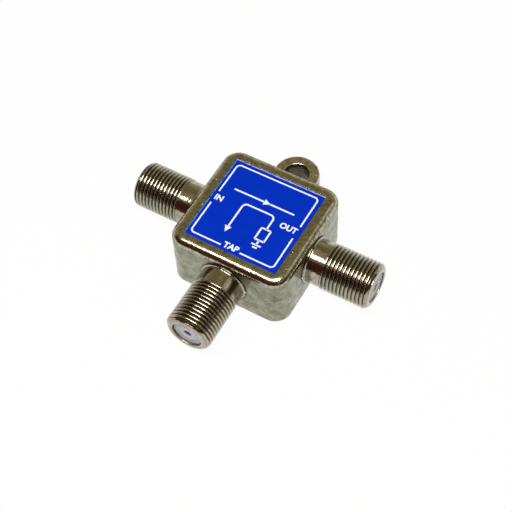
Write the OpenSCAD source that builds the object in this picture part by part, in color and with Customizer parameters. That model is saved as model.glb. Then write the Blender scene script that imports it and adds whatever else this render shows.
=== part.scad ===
// Three-port coaxial line tap in a cast housing, closed at the back by a soldered plate.
// Millimetres. The origin is the centre of the back face, +Z points out of the label face,
// +X along the output port, -X along the input port and -Y along the tap port.

/* [Housing] */
// Width of the body between its input and output walls, under the rim
body_w = 25.3; // [24:0.1:32]
// Depth of the body between its tap wall and its ear wall, under the rim
body_d = 25.3; // [24:0.1:32]
// Height from the back face to the label face
body_h = 13.3; // [12.9:0.1:16]
// Radius of the four upright corners
corner_r = 3.4; // [2.8:0.1:5]
// Rounding of the edge round the label face
rim_r = 1.7; // [0.8:0.1:2]
// How much each side stands further out at the back face, for the casting to leave its die
draft = 0.1; // [0.02:0.01:0.3]
// Thickness of the side walls
wall = 1.9; // [1.7:0.1:2.4]
// Thickness of the wall under the label face
face_wall = 1.5; // [1.1:0.1:2]
// Fillet between the side walls and the floor of the hollow
hollow_fillet = 0.5; // [0.2:0.1:0.9]

/* [Ear] */
// Distance of the ear's hole from the ear wall of the body
ear_reach = 3.65; // [3.2:0.05:6]
// Radius of the ear's rounded end
ear_r = 4.7; // [4:0.05:6]
// Height of the ear above the back face
ear_h = 7.3; // [3:0.1:10]
// Diameter of the screw hole in the ear
ear_hole_d = 5.2; // [4:0.05:5.4]
// Chamfer at both ends of the screw hole
ear_chamfer = 0.15; // [0.1:0.05:0.6]
// Rounding of the ear's upper edge
ear_edge_r = 0.3; // [0.1:0.05:0.6]

/* [Ports] */
// Height of the port axes above the back face
axis_h = 6.8; // [6.6:0.1:7.6]
// Distance of the input and output ports' ends from the body's walls
line_port_len = 13.55; // [12.8:0.05:16]
// Distance of the tap port's end from the body's wall
tap_port_len = 13.55; // [12.8:0.05:16]
// Diameter over the crests of the port threads
thread_d = 9.44; // [9.3:0.02:9.52]
// Pitch of the port threads
thread_pitch = 0.794; // [0.75:0.002:0.85]
// Depth of the port threads
thread_depth = 0.42; // [0.3:0.01:0.5]
// Width of the flat on each crest
crest_flat = 0.3; // [0.2:0.01:0.34]
// Turns of each port's thread
thread_turns = 11; // [8:1:12]
// Diameter of the smooth neck behind each thread
neck_d = 9.1; // [8.8:0.05:9.25]
// Width of the raised foot round each neck
foot_w = 0.3; // [0.1:0.05:0.6]
// Height of the raised foot above the wall
foot_h = 0.15; // [0.1:0.05:0.4]
// Chamfer at the outer end of each thread
end_chamfer = 0.8; // [0.3:0.05:0.95]
// Diameter of the bore that holds each insulator
port_bore_d = 6.3; // [5.8:0.05:6.6]
// Chamfer at the mouth of each bore
mouth_chamfer = 0.05; // [0.05:0.05:0.4]

/* [Insulators and contacts] */
// Free space round each insulator in its bore
insulator_play = 0.05; // [0.02:0.01:0.1]
// Depth of the insulator's face behind the port's end
insulator_recess = 0.55; // [0.1:0.05:0.8]
// Diameter of the insulator's spigot, which passes through the body's wall
spigot_d = 4.2; // [3.8:0.1:4.8]
// Length of the spigot that stands into the hollow
spigot_out = 0.5; // [0.2:0.1:0.9]
// Diameter of the hole for the cable's centre wire
wire_hole_d = 1.1; // [1.05:0.05:1.4]
// Thickness of insulator in front of the contact
insulator_face = 1.3; // [0.8:0.1:2]
// Outer diameter of the sprung contact's barrel
contact_d = 2.6; // [2.3:0.05:2.9]
// Thickness of the contact's sheet
contact_t = 0.3; // [0.2:0.02:0.36]
// Length of the contact's barrel
contact_len = 6; // [5:0.1:8]
// Width of the slots between the contact's fingers
finger_gap = 0.45; // [0.3:0.05:0.6]
// Width of the contact's flat tail
tail_w = 1.2; // [0.9:0.05:1.3]
// Distance of the upright tail from the hollow's wall
tail_in = 2.35; // [1.8:0.05:2.6]

/* [Back] */
// Width of the housing's rim round the back cover
back_rim_w = 1.3; // [1:0.05:1.4]
// Depth of the ledge that the back cover seats on
cover_depth = 1; // [0.8:0.05:1.2]
// Thickness of the back cover
cover_t = 0.5; // [0.3:0.05:0.7]
// Free space round the back cover, which the solder fills
cover_play = 0.1; // [0.05:0.01:0.2]
// Width of the solder seam on the cover
seam_w = 1.1; // [0.6:0.1:1.6]
// Height of the solder seam on the rim, above the cover
seam_h = 0.35; // [0.15:0.05:0.45]

/* [Label] */
// Width of the label along the line ports
label_w = 19.9; // [16:0.1:20.6]
// Depth of the label
label_d = 20.2; // [16:0.1:20.6]
// Thickness of the label
label_t = 0.12; // [0.1:0.01:0.4]
// Depth of the label's recess in the face
label_recess = 0.3; // [0.1:0.01:0.5]
// Free space round the label in its recess
label_play = 0.05; // [0.02:0.01:0.15]

/* [Circuit board] */
// Thickness of the circuit board
board_t = 1; // [0.6:0.1:1.2]
// Free space between the board's edge and the walls
board_play = 0.25; // [0.15:0.05:0.5]
// Clear height between the board and the insulators' spigots
board_drop = 0.4; // [0.2:0.05:0.6]
// Diameter of the posts that the board seats on
post_d = 3.4; // [3:0.1:3.8]
// Distance of the posts' centres from the hollow's walls
post_in = 1.45; // [1.3:0.05:1.6]
// Diameter of the pegs on the posts' ends
peg_d = 1.2; // [0.9:0.05:1.4]
// Length of peg and tail that stands out behind the board
pin_out = 0.8; // [0.6:0.05:1]
// Free space round each peg and lead in its hole
hole_play = 0.1; // [0.05:0.01:0.15]
// Diameter of the parts' wire leads
lead_d = 0.5; // [0.4:0.02:0.6]
// Height of each solder joint
joint_h = 0.5; // [0.3:0.05:0.6]
// Width of each solder joint round its lead
joint_w = 0.5; // [0.3:0.05:0.6]

/* [Parts on the board] */
// Width of each ferrite core across its two holes
core_w = 5; // [4.6:0.1:5.4]
// Length of each ferrite core along its holes
core_len = 4.6; // [4:0.1:5]
// Height of each ferrite core
core_h = 3; // [2.7:0.1:3.4]
// Diameter of the holes in each core
core_hole_d = 1.3; // [1.2:0.05:1.5]
// Distance between the two holes of a core
core_hole_gap = 2.4; // [2.2:0.1:2.6]
// Distance between the centres of the two cores
core_spacing = 7.8; // [7.4:0.1:8.2]
// Diameter of the winding wire
winding_d = 0.34; // [0.28:0.02:0.38]
// Diameter of the resistor's body
resistor_d = 1.9; // [1.6:0.1:2.2]
// Length of the resistor's body
resistor_len = 3.6; // [3:0.1:4]
// Diameter of the disc capacitors
disc_d = 4.2; // [3.6:0.1:4.6]
// Thickness of the disc capacitors
disc_t = 1.5; // [1.2:0.1:1.8]
// Distance between the leads of a disc capacitor
disc_pitch = 2.5; // [2.2:0.1:2.8]
// Inner diameter of the matching coil
coil_d = 2; // [1.6:0.1:2.2]
// Turns of the matching coil
coil_turns = 4; // [3:1:5]
// Rise of the matching coil in one turn
coil_pitch = 0.75; // [0.65:0.05:0.85]

/* [Hidden] */
$fn = 72;

eps = 0.01;

// The hollow and what its walls set
hollow_w = body_w - 2 * wall;
hollow_d = body_d - 2 * wall;
hollow_top = body_h - face_wall;
hollow_r = corner_r - wall;
recess_w = body_w - 2 * back_rim_w;
recess_d = body_d - 2 * back_rim_w;
recess_r = corner_r - back_rim_w;

// Turn of each port about +Z
IN = 180;
OUT = 0;
TAP = -90;
ear_y = body_d / 2 + ear_reach;

// The ports, from the body's centre outwards
spigot_r = spigot_d / 2;
shoulder_in = 0.75; // how far outside the wall's face the bore ends in a shoulder
pocket_play = 0.05; // free space round the contact's barrel
thread_root_flat = 0.12;
thread_flank = (thread_pitch - crest_flat - thread_root_flat) / 2;

// The board, hung below the spigots
board_top = axis_h - spigot_r - board_drop;
board_z = board_top - board_t;
pin_z = board_z - pin_out;
post_x = hollow_w / 2 - post_in;
post_y = hollow_d / 2 - post_in;

// Places of the parts on the board
core_y = 2.6;
core_hole_z = board_top + core_h / 2;
winding_turns = 2;
winding_step = winding_d + 0.06; // wires that lie just clear of each other
winding_room = 0.1; // straight wire between the core's end and each loop
winding_lead_out = 1.4; // how far the ends stand out before they turn down
winding_lead_y = core_y - core_len / 2 - winding_room - winding_lead_out;
resistor_in = 6.25; // from the hollow's input wall to the resistor's middle
resistor_at = [resistor_in - hollow_w / 2, -4.2];
resistor_overhang = 1.1; // from the body's end to its lead's hole
resistor_lift = 0.3;
resistor_span = resistor_len + 2 * resistor_overhang;
resistor_z = board_top + resistor_d / 2 + resistor_lift;
line_cap_in = 6.15; // from the hollow's output wall to the line capacitor's middle
line_cap_at = [hollow_w / 2 - line_cap_in, -3.4];
tap_cap_in = 3.55; // from the hollow's tap wall to the tap capacitor
tap_cap_at = [4.2, tap_cap_in - hollow_d / 2];
disc_lift = 0.9; // bare lead between the board and each disc
coil_in = 2.55; // from the hollow's wall to the coil's axis
coil_lift = 0.4;
coil_at = [0, hollow_d / 2 - coil_in];
coil_r = (coil_d + lead_d) / 2;
coil_len = coil_turns * coil_pitch;
coil_z = board_top + coil_r + lead_d / 2 + coil_lift;
core_places = [-core_spacing / 2, core_spacing / 2];
bend_step = 22.5; // degrees between the rings of a bent wire
wire_sides = 10;

// Every round lead that passes through the board
winding_leads = [
    for (x = core_places, side = [-1, 1]) [x + side * core_hole_gap / 2, winding_lead_y]
];
part_leads = [
    for (side = [-1, 1]) resistor_at + [side * resistor_span / 2, 0],
    for (side = [-1, 1]) line_cap_at + [side * disc_pitch / 2, 0],
    for (side = [-1, 1]) tap_cap_at + [side * disc_pitch / 2, 0],
    for (side = [-1, 1]) coil_at + [side * coil_len / 2, 0]
];

// Distance of a port's wall, hollow wall and end from the body's centre
function half_of(turn) = (turn == TAP ? body_d : body_w) / 2;
function hollow_of(turn) = half_of(turn) - wall;
function reach_of(turn) = half_of(turn) + (turn == TAP ? tap_port_len : line_port_len);
function tail_of(turn) = hollow_of(turn) - tail_in;
function barrel_end_of(turn) = reach_of(turn) - insulator_recess - insulator_face;

// Half of an upright section: a side that leans out by flare at its base, rounded at its top
module edge_profile(half, h, top_r, flare = 0) {
    polygon([[0, 0], [half + flare, 0], [half, h - top_r], [0, h - top_r]]);
    translate([0, h - top_r]) square([half - top_r, top_r]);
    translate([half - top_r, h - top_r]) intersection() {
        circle(top_r);
        square(top_r);
    }
}

// A wall-to-wall slab with that section on both sides, running along Y
module soft_slab(w, run, h, top_r, flare) {
    rotate([90, 0, 0]) linear_extrude(run, center = true) {
        edge_profile(w / 2, h, top_r, flare);
        mirror([1, 0]) edge_profile(w / 2, h, top_r, flare);
    }
}

// A block with round upright corners and a rolled upper edge
module soft_block(w, d, h, r, top_r, flare = 0) {
    soft_slab(w, d - 2 * r, h, top_r, flare);
    rotate([0, 0, 90]) soft_slab(d, w - 2 * r, h, top_r, flare);
    for (turn = [0 : 90 : 270])
        rotate([0, 0, turn])
            translate([(turn % 180 == 0 ? w : d) / 2 - r, (turn % 180 == 0 ? d : w) / 2 - r, 0])
                rotate_extrude(angle = 90) edge_profile(r, h, top_r, flare);
}

// A flat plate with round corners
module round_plate(w, d, t, r) {
    translate([-w / 2, r - d / 2, 0]) cube([w, d - 2 * r, t]);
    translate([r - w / 2, -d / 2, 0]) cube([w - 2 * r, d, t]);
    for (turn = [0 : 90 : 270])
        rotate([0, 0, turn])
            translate([(turn % 180 == 0 ? w : d) / 2 - r, (turn % 180 == 0 ? d : w) / 2 - r, 0])
                rotate_extrude(angle = 90) square([r, t]);
}

// A bead that follows a round-cornered outline; its section lies at x = 0 and below
module bead_ring(w, d, r) {
    for (turn = [0 : 90 : 270])
        rotate([0, 0, turn]) {
            across = turn % 180 == 0 ? w : d;
            along = turn % 180 == 0 ? d : w;
            rotate([90, 0, 0]) linear_extrude(along - 2 * r, center = true)
                translate([across / 2, 0]) children();
            translate([across / 2 - r, along / 2 - r, 0])
                rotate_extrude(angle = 90) translate([r, 0]) children();
        }
}

// Sets its children on a port's axis: local +Z points out of the port and local +X down
module at_port(turn) {
    translate([0, 0, axis_h]) rotate([0, 0, turn]) rotate([0, 90, 0]) children();
}

// Outline of a port: foot, neck, ring-shaped thread crests and end chamfer
module port_outline(turn) {
    face = half_of(turn) + draft + foot_h;
    reach = reach_of(turn);
    start = reach - end_chamfer - crest_flat - thread_turns * thread_pitch;
    top = thread_d / 2;
    root = top - thread_depth;
    grooves = [
        for (i = [0 : thread_turns - 1])
            let (s = start + i * thread_pitch)
                each [
                    [i == 0 ? neck_d / 2 : top, s],
                    [root, s + thread_flank],
                    [root, s + thread_flank + thread_root_flat],
                    [top, s + 2 * thread_flank + thread_root_flat]
                ]
    ];
    polygon(concat(
        [
            [0, half_of(turn) - wall / 2],
            [neck_d / 2 + foot_w, half_of(turn) - wall / 2],
            [neck_d / 2 + foot_w, face],
            [neck_d / 2, face + foot_w]
        ],
        grooves,
        [[top, reach - end_chamfer], [top - end_chamfer, reach], [0, reach]]
    ));
}

// Room in a port for its insulator: wide bore, shoulder and the spigot's way through the wall
module port_room(turn) {
    reach = reach_of(turn);
    bore = port_bore_d / 2;
    translate([0, 0, half_of(turn) + shoulder_in])
        cylinder(r = bore, h = reach - half_of(turn) - shoulder_in + eps);
    translate([0, 0, reach - mouth_chamfer])
        cylinder(r1 = bore, r2 = bore + mouth_chamfer + eps, h = mouth_chamfer + eps);
    translate([0, 0, hollow_of(turn) - 2 * hollow_fillet])
        cylinder(r = spigot_r + insulator_play, h = wall + shoulder_in + 2 * hollow_fillet + eps);
}

// The ear that a screw passes through
module ear() {
    translate([0, ear_y, 0]) rotate_extrude(angle = 180) edge_profile(ear_r, ear_h, ear_edge_r);
    translate([0, ear_y - (ear_reach + wall / 2) / 2, 0])
        soft_slab(2 * ear_r, ear_reach + wall / 2, ear_h, ear_edge_r, 0);
}

module ear_hole() {
    translate([0, ear_y, -eps]) cylinder(d = ear_hole_d, h = ear_h + 2 * eps);
    for (end = [0, 1])
        translate([0, ear_y, end * ear_h]) mirror([0, 0, end])
            translate([0, 0, -eps])
                cylinder(d1 = ear_hole_d + 2 * (ear_chamfer + eps), d2 = ear_hole_d, h = ear_chamfer + eps);
}

// The one-piece casting
module housing() {
    color("#a9a18c") {
        difference() {
            union() {
                soft_block(body_w, body_d, body_h, corner_r, rim_r, draft);
                for (turn = [IN, OUT, TAP]) at_port(turn) rotate_extrude() port_outline(turn);
                ear();
            }
            translate([0, 0, -eps])
                soft_block(hollow_w, hollow_d, hollow_top + eps, hollow_r, hollow_fillet);
            translate([0, 0, -eps]) round_plate(recess_w, recess_d, cover_depth + eps, recess_r);
            for (turn = [IN, OUT, TAP]) at_port(turn) port_room(turn);
            ear_hole();
            translate([-label_w / 2 - label_play, -label_d / 2 - label_play, body_h - label_recess])
                cube([label_w + 2 * label_play, label_d + 2 * label_play, label_recess + eps]);
        }
        board_posts();
    }
}

// Posts in the hollow's corners, each with a peg through the board
module board_posts() {
    for (x = [-post_x, post_x], y = [-post_y, post_y]) {
        intersection() {
            translate([x, y, board_top]) cylinder(d = post_d, h = hollow_top + eps - board_top);
            translate([0, 0, board_top])
                round_plate(hollow_w + wall, hollow_d + wall, hollow_top, hollow_r + wall / 2);
        }
        translate([x, y, pin_z]) cylinder(d = peg_d, h = board_top + eps - pin_z);
    }
}

module label_plate() {
    color("#0a2fc4")
        translate([-label_w / 2, -label_d / 2, body_h - label_recess]) cube([label_w, label_d, label_t]);
}

module back_cover() {
    color("#c3c5c4")
        translate([0, 0, cover_depth - cover_t])
            round_plate(recess_w - 2 * cover_play, recess_d - 2 * cover_play, cover_t, recess_r - cover_play);
}

// Solder that fills the gap round the cover and rises up the rim
module cover_solder() {
    low = cover_depth - cover_t;
    color("#d0d1cf") bead_ring(recess_w, recess_d, recess_r)
        polygon([
            [0, low - seam_h], [0, cover_depth], [-cover_play, cover_depth],
            [-cover_play, low], [-seam_w, low]
        ]);
}

// One insulator: front body, spigot, centre hole with a lead-in and the contact's pocket
module insulator(turn) {
    face = reach_of(turn) - insulator_recess;
    seat = half_of(turn) + shoulder_in;
    rear = hollow_of(turn) - spigot_out;
    lead_in = 0.4;
    color("#d9d8e0") at_port(turn) difference() {
        union() {
            translate([0, 0, seat]) cylinder(r = port_bore_d / 2 - insulator_play, h = face - seat);
            translate([0, 0, rear]) cylinder(r = spigot_r, h = seat - rear + eps);
        }
        translate([0, 0, rear - eps])
            cylinder(r = contact_d / 2 + pocket_play, h = barrel_end_of(turn) - rear + eps);
        translate([0, 0, barrel_end_of(turn) - eps]) cylinder(d = wire_hole_d, h = insulator_face + 2 * eps);
        translate([0, 0, face - lead_in])
            cylinder(d1 = wire_hole_d, d2 = wire_hole_d + 2 * (lead_in + eps), h = lead_in + eps);
    }
}

module in_insulator() {
    insulator(IN);
}

module out_insulator() {
    insulator(OUT);
}

module tap_insulator() {
    insulator(TAP);
}

// One sprung contact: a barrel whose four fingers close on the wire, and a tail to the board
module contact(turn) {
    front = barrel_end_of(turn);
    back = front - contact_len;
    out_r = contact_d / 2;
    in_r = out_r - contact_t;
    grip_r = wire_hole_d / 2 - 0.08;
    finger_len = contact_len * 0.65;
    taper_len = finger_len * 0.7;
    tail_x = sqrt(pow(out_r, 2) - pow(tail_w / 2, 2)) - contact_t;
    bend_r = 0.3;
    tail_s = tail_of(turn);
    color("#b98a4a") at_port(turn) {
        difference() {
            rotate_extrude() polygon([
                [in_r, back], [out_r, back], [out_r, front - taper_len], [grip_r + contact_t, front],
                [grip_r, front], [in_r, front - taper_len]
            ]);
            for (turned = [0, 90])
                rotate([0, 0, turned + 45])
                    translate([-contact_d, -finger_gap / 2, front - finger_len])
                        cube([2 * contact_d, finger_gap, finger_len + eps]);
        }
        translate([tail_x, -tail_w / 2, tail_s + contact_t / 2 + bend_r])
            cube([contact_t, tail_w, back + contact_t - tail_s - contact_t / 2 - bend_r]);
        translate([tail_x + contact_t + bend_r, -tail_w / 2, tail_s - contact_t / 2])
            cube([axis_h - pin_z - tail_x - contact_t - bend_r, tail_w, contact_t]);
        translate([tail_x + contact_t + bend_r, tail_w / 2, tail_s + contact_t / 2 + bend_r])
            rotate([90, 0, 0]) rotate([0, 0, 180]) rotate_extrude(angle = 90)
                translate([bend_r, 0]) square([contact_t, tail_w]);
    }
}

module in_contact() {
    contact(IN);
}

module out_contact() {
    contact(OUT);
}

module tap_contact() {
    contact(TAP);
}

// The board, with a hole for each peg and lead and a slot for each contact's tail
module circuit_board() {
    play = 2 * board_play;
    color("#3c6b3a") difference() {
        translate([0, 0, board_z]) round_plate(hollow_w - play, hollow_d - play, board_t, hollow_r);
        for (x = [-post_x, post_x], y = [-post_y, post_y])
            translate([x, y, board_z - eps]) cylinder(r = peg_d / 2 + hole_play, h = board_t + 2 * eps);
        for (p = part_leads)
            translate([p.x, p.y, board_z - eps])
                cylinder(r = lead_d / 2 + hole_play, h = board_t + 2 * eps);
        for (p = winding_leads)
            translate([p.x, p.y, board_z - eps])
                cylinder(r = winding_d / 2 + hole_play, h = board_t + 2 * eps);
        for (turn = [IN, OUT, TAP])
            tail_place(turn) translate([0, 0, board_t / 2])
                cube([contact_t + 2 * hole_play, tail_w + 2 * hole_play, board_t + 2 * eps], center = true);
    }
}

// Where a contact's tail passes the back of the board
module tail_place(turn) {
    rotate([0, 0, turn]) translate([tail_of(turn), 0, board_z]) children();
}

// A two-hole ferrite core that lies on the board
module ferrite_core(x) {
    color("#2c2b2d") difference() {
        union() {
            translate([x - core_hole_gap / 2, core_y - core_len / 2, board_top])
                cube([core_hole_gap, core_len, core_h]);
            for (side = [-1, 1])
                translate([x + side * core_hole_gap / 2, core_y, core_hole_z])
                    rotate([90, 0, 0]) rotate([0, 0, side * 90 - 90]) rotate([0, 0, -90])
                        linear_extrude(core_len, center = true) core_end();
        }
        for (side = [-1, 1])
            translate([x + side * core_hole_gap / 2, core_y, core_hole_z])
                rotate([90, 0, 0]) cylinder(d = core_hole_d, h = core_len + 2 * eps, center = true);
    }
}

// Rounded end of a core's section, from its flat middle outwards
module core_end() {
    bulge = (core_w - core_hole_gap) / 2;
    corner = bulge * 0.7;
    translate([-core_h / 2 + corner, 0]) square([core_h - 2 * corner, bulge]);
    for (side = [-1, 1])
        translate([side * (core_h / 2 - corner), 0]) {
            translate([side > 0 ? 0 : -corner, 0]) square([corner, bulge - corner]);
            translate([0, bulge - corner]) mirror([side > 0 ? 0 : 1, 0]) intersection() {
                circle(corner);
                square(corner);
            }
        }
}

module series_core() {
    ferrite_core(core_places[0]);
}

module shunt_core() {
    ferrite_core(core_places[1]);
}

// A round wire along an upright or level straight stretch
module wire_run(from, to, d) {
    dir = to - from;
    len = norm(dir);
    translate(from) rotate([0, acos(dir.z / len), atan2(dir.y, dir.x)]) cylinder(d = d, h = len);
}

// A quarter bend of round wire from level travel along +X to upright travel along -Z
module wire_bend(d, r) {
    translate([0, 0, -r]) rotate([90, 0, 0]) rotate_extrude(angle = 90) translate([r, 0]) circle(d = d);
}

// Points of a winding's wire axis: up one lead, through both holes turn after turn, down the other
function winding_path(x) =
    let (
        half = core_hole_gap / 2,
        front = core_y - core_len / 2 - winding_room,
        rear = core_y + core_len / 2 + winding_room,
        low = core_hole_z - (winding_turns - 1) * winding_step / 2,
        high = low + (winding_turns - 1) * winding_step
    )
    [
        [x - half, winding_lead_y, pin_z],
        for (a = [0 : bend_step : 90])
            [x - half, front - winding_lead_out * cos(a), low - winding_lead_out * (1 - sin(a))],
        for (i = [0 : winding_turns - 1])
            each [
                for (a = [0 : bend_step : 180])
                    [x - half * cos(a), rear + half * sin(a), low + i * winding_step],
                for (a = [0 : bend_step : i < winding_turns - 1 ? 180 : 0])
                    [x + half * cos(a), front - half * sin(a), low + (i + a / 180) * winding_step]
            ],
        for (a = [90 - bend_step : -bend_step : 0])
            [x + half, front - winding_lead_out * cos(a), high - winding_lead_out * (1 - sin(a))],
        [x + half, winding_lead_y, pin_z]
    ];

module series_winding() {
    color("#a8431f") wire_path(winding_path(core_places[0]), winding_d / 2);
}

module shunt_winding() {
    color("#2f7d3c") wire_path(winding_path(core_places[1]), winding_d / 2);
}

// Two upright leads joined to a part's ends by bends, with the part drawn by the children
module bent_leads(at, span, body, z) {
    bend = 0.5;
    for (side = [-1, 1])
        translate([at.x, at.y, 0]) rotate([0, 0, side > 0 ? 0 : 180]) {
            wire_run([body / 2 - eps, 0, z], [span / 2 - bend, 0, z], lead_d);
            translate([span / 2 - bend, 0, z]) wire_bend(lead_d, bend);
            wire_run([span / 2, 0, pin_z], [span / 2, 0, z - bend], lead_d);
        }
}

// Axial resistor with the swollen ends of a dipped body
module termination_resistor() {
    cap = resistor_len * 0.22;
    r = resistor_d / 2;
    waist = r * 0.84;
    edge = r * 0.35;
    color("#c9b48a") {
        translate([resistor_at.x, resistor_at.y, resistor_z]) rotate([0, 90, 0]) rotate_extrude()
            polygon([
                [0, -resistor_len / 2], [r - edge, -resistor_len / 2], [r, edge - resistor_len / 2],
                [r, cap - resistor_len / 2], [waist, cap + edge - resistor_len / 2],
                [waist, resistor_len / 2 - cap - edge], [r, resistor_len / 2 - cap],
                [r, resistor_len / 2 - edge], [r - edge, resistor_len / 2], [0, resistor_len / 2]
            ]);
        bent_leads(resistor_at, resistor_span, resistor_len, resistor_z);
    }
}

// Ceramic disc that stands on its two leads
module disc_capacitor(at, shade) {
    centre = board_top + disc_lift + disc_d / 2;
    edge = disc_t * 0.3;
    r = disc_d / 2;
    color(shade) {
        translate([at.x, at.y, centre]) rotate([90, 0, 0]) rotate_extrude()
            polygon([
                [0, -disc_t / 2], [r - edge, -disc_t / 2], [r, edge - disc_t / 2],
                [r, disc_t / 2 - edge], [r - edge, disc_t / 2], [0, disc_t / 2]
            ]);
        for (side = [-1, 1])
            wire_run(
                [at.x + side * disc_pitch / 2, at.y, pin_z],
                [at.x + side * disc_pitch / 2, at.y, centre - disc_d / 8],
                lead_d
            );
    }
}

module line_capacitor() {
    disc_capacitor(line_cap_at, "#b5622c");
}

module tap_capacitor() {
    disc_capacitor(tap_cap_at, "#c07a35");
}

// Points of the coil's wire axis: up one lead, along the turns and down the other lead
coil_path = [
    [-coil_len / 2, 0, pin_z - coil_z],
    [-coil_len / 2, 0, board_top - coil_z],
    for (a = [0 : bend_step : 360 * coil_turns])
        [coil_pitch * a / 360 - coil_len / 2, coil_r * sin(a), -coil_r * cos(a)],
    [coil_len / 2, 0, board_top - coil_z],
    [coil_len / 2, 0, pin_z - coil_z]
];

// Air-wound coil of round wire, open between its turns
module matching_coil() {
    color("#c8682e") translate([coil_at.x, coil_at.y, coil_z]) wire_path(coil_path, lead_d / 2);
}

// One closed tube of wire that follows a list of points without twisting
module wire_path(path, r) {
    last = len(path) - 1;
    travel = [for (i = [0 : last]) unit(path[min(i + 1, last)] - path[max(i - 1, 0)])];
    across = [
        for (
            i = 0, u = [1, 0, 0];
            i <= last;
            i = i + 1, t = travel[min(i, last)], u = unit(u - (u * t) * t)
        ) u
    ];
    rings = [
        for (i = [0 : last], k = [0 : wire_sides - 1])
            let (a = 360 * k / wire_sides)
                path[i] + r * (cos(a) * across[i] + sin(a) * cross(travel[i], across[i]))
    ];
    faces = concat(
        [[for (k = [0 : wire_sides - 1]) k]],
        [
            for (i = [0 : last - 1], k = [0 : wire_sides - 1])
                let (n = (k + 1) % wire_sides, row = i * wire_sides)
                    [row + k, row + wire_sides + k, row + wire_sides + n, row + n]
        ],
        [[for (k = [wire_sides - 1 : -1 : 0]) last * wire_sides + k]]
    );
    polyhedron(rings, faces);
}

function unit(v) = v / norm(v);

// A solder cone behind the board round a lead of the given radius
module joint(r) {
    cylinder(r1 = r + joint_w * 0.3, r2 = r + joint_w, h = joint_h);
}

// Joints of the contacts' tails and of every wire lead
module lead_solder() {
    color("#cfd0ce") {
        for (p = part_leads)
            translate([p.x, p.y, board_z - joint_h]) difference() {
                joint(lead_d / 2);
                translate([0, 0, -eps]) cylinder(d = lead_d, h = joint_h + 2 * eps);
            }
        for (p = winding_leads)
            translate([p.x, p.y, board_z - joint_h]) difference() {
                joint(winding_d / 2);
                translate([0, 0, -eps]) cylinder(d = winding_d, h = joint_h + 2 * eps);
            }
        for (turn = [IN, OUT, TAP])
            tail_place(turn) translate([0, 0, -joint_h]) difference() {
                joint(tail_w / 2);
                translate([0, 0, joint_h / 2]) cube([contact_t, tail_w, joint_h + 2 * eps], center = true);
            }
    }
}

// Joints that tie the board's ground to the casting's pegs
module ground_solder() {
    color("#cfd0ce")
        for (x = [-post_x, post_x], y = [-post_y, post_y])
            translate([x, y, board_z - joint_h]) difference() {
                joint(peg_d / 2);
                translate([0, 0, -eps]) cylinder(d = peg_d, h = joint_h + 2 * eps);
            }
}

housing();
label_plate();
back_cover();
cover_solder();
in_insulator();
out_insulator();
tap_insulator();
in_contact();
out_contact();
tap_contact();
circuit_board();
series_core();
series_winding();
shunt_core();
shunt_winding();
termination_resistor();
line_capacitor();
tap_capacitor();
matching_coil();
lead_solder();
ground_solder();
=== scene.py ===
"""Looks of a three-port coaxial line tap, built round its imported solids.

The part is one nickel-plated casting with three threaded ports and a screw ear, a printed label let
into its face, plastic insulators in its ports and a soldered back. The casting, the label, its print,
the insulators, the back cover and its solder are made here as worked-out surfaces that stand for the
solids; the pieces inside keep their solids and get finishes.

Lengths in the classes are millimetres in the part's own frame. Meshes are stored in metres.
"""

import functools
import logging
import math
from collections.abc import Sequence
from dataclasses import dataclass, field
from enum import Enum

import bpy
import numpy as np
from mathutils import Matrix, Quaternion, Vector


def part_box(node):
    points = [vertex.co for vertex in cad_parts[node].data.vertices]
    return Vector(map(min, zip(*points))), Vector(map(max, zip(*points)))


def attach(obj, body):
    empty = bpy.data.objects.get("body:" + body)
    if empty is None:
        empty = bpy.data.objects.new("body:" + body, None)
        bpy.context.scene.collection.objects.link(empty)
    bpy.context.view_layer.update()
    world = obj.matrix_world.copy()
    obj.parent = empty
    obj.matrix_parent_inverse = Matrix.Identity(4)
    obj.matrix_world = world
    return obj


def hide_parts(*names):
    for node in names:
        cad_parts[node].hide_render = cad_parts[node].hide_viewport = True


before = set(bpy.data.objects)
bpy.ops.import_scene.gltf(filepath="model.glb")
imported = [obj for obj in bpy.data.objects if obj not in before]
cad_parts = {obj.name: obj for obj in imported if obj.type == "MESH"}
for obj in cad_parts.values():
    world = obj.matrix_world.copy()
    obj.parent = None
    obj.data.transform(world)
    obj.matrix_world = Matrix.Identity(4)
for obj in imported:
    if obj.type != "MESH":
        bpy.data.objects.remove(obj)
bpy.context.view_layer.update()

LOG = logging.getLogger("line_tap")
MM = 0.001
BODY = "root"

Array = np.ndarray
Pair = tuple[float, float]
Triple = tuple[float, float, float]
Colour = tuple[float, float, float]
Row = tuple[float, float, float, float]
Piece = bpy.types.Object
Material = bpy.types.Material
Node = bpy.types.Node
Group = bpy.types.NodeTree
Socket = bpy.types.NodeSocket
Value = Socket | float | Colour


class Join(Enum):
    """How one closed mesh is worked by another."""

    ADD = "UNION"
    CUT = "DIFFERENCE"
    KEEP = "INTERSECT"


class Port(Enum):
    """The three ports, each with its turn about +Z in degrees."""

    IN = 180.0
    OUT = 0.0
    TAP = -90.0


# ---------------------------------------------------------------- surfaces


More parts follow.
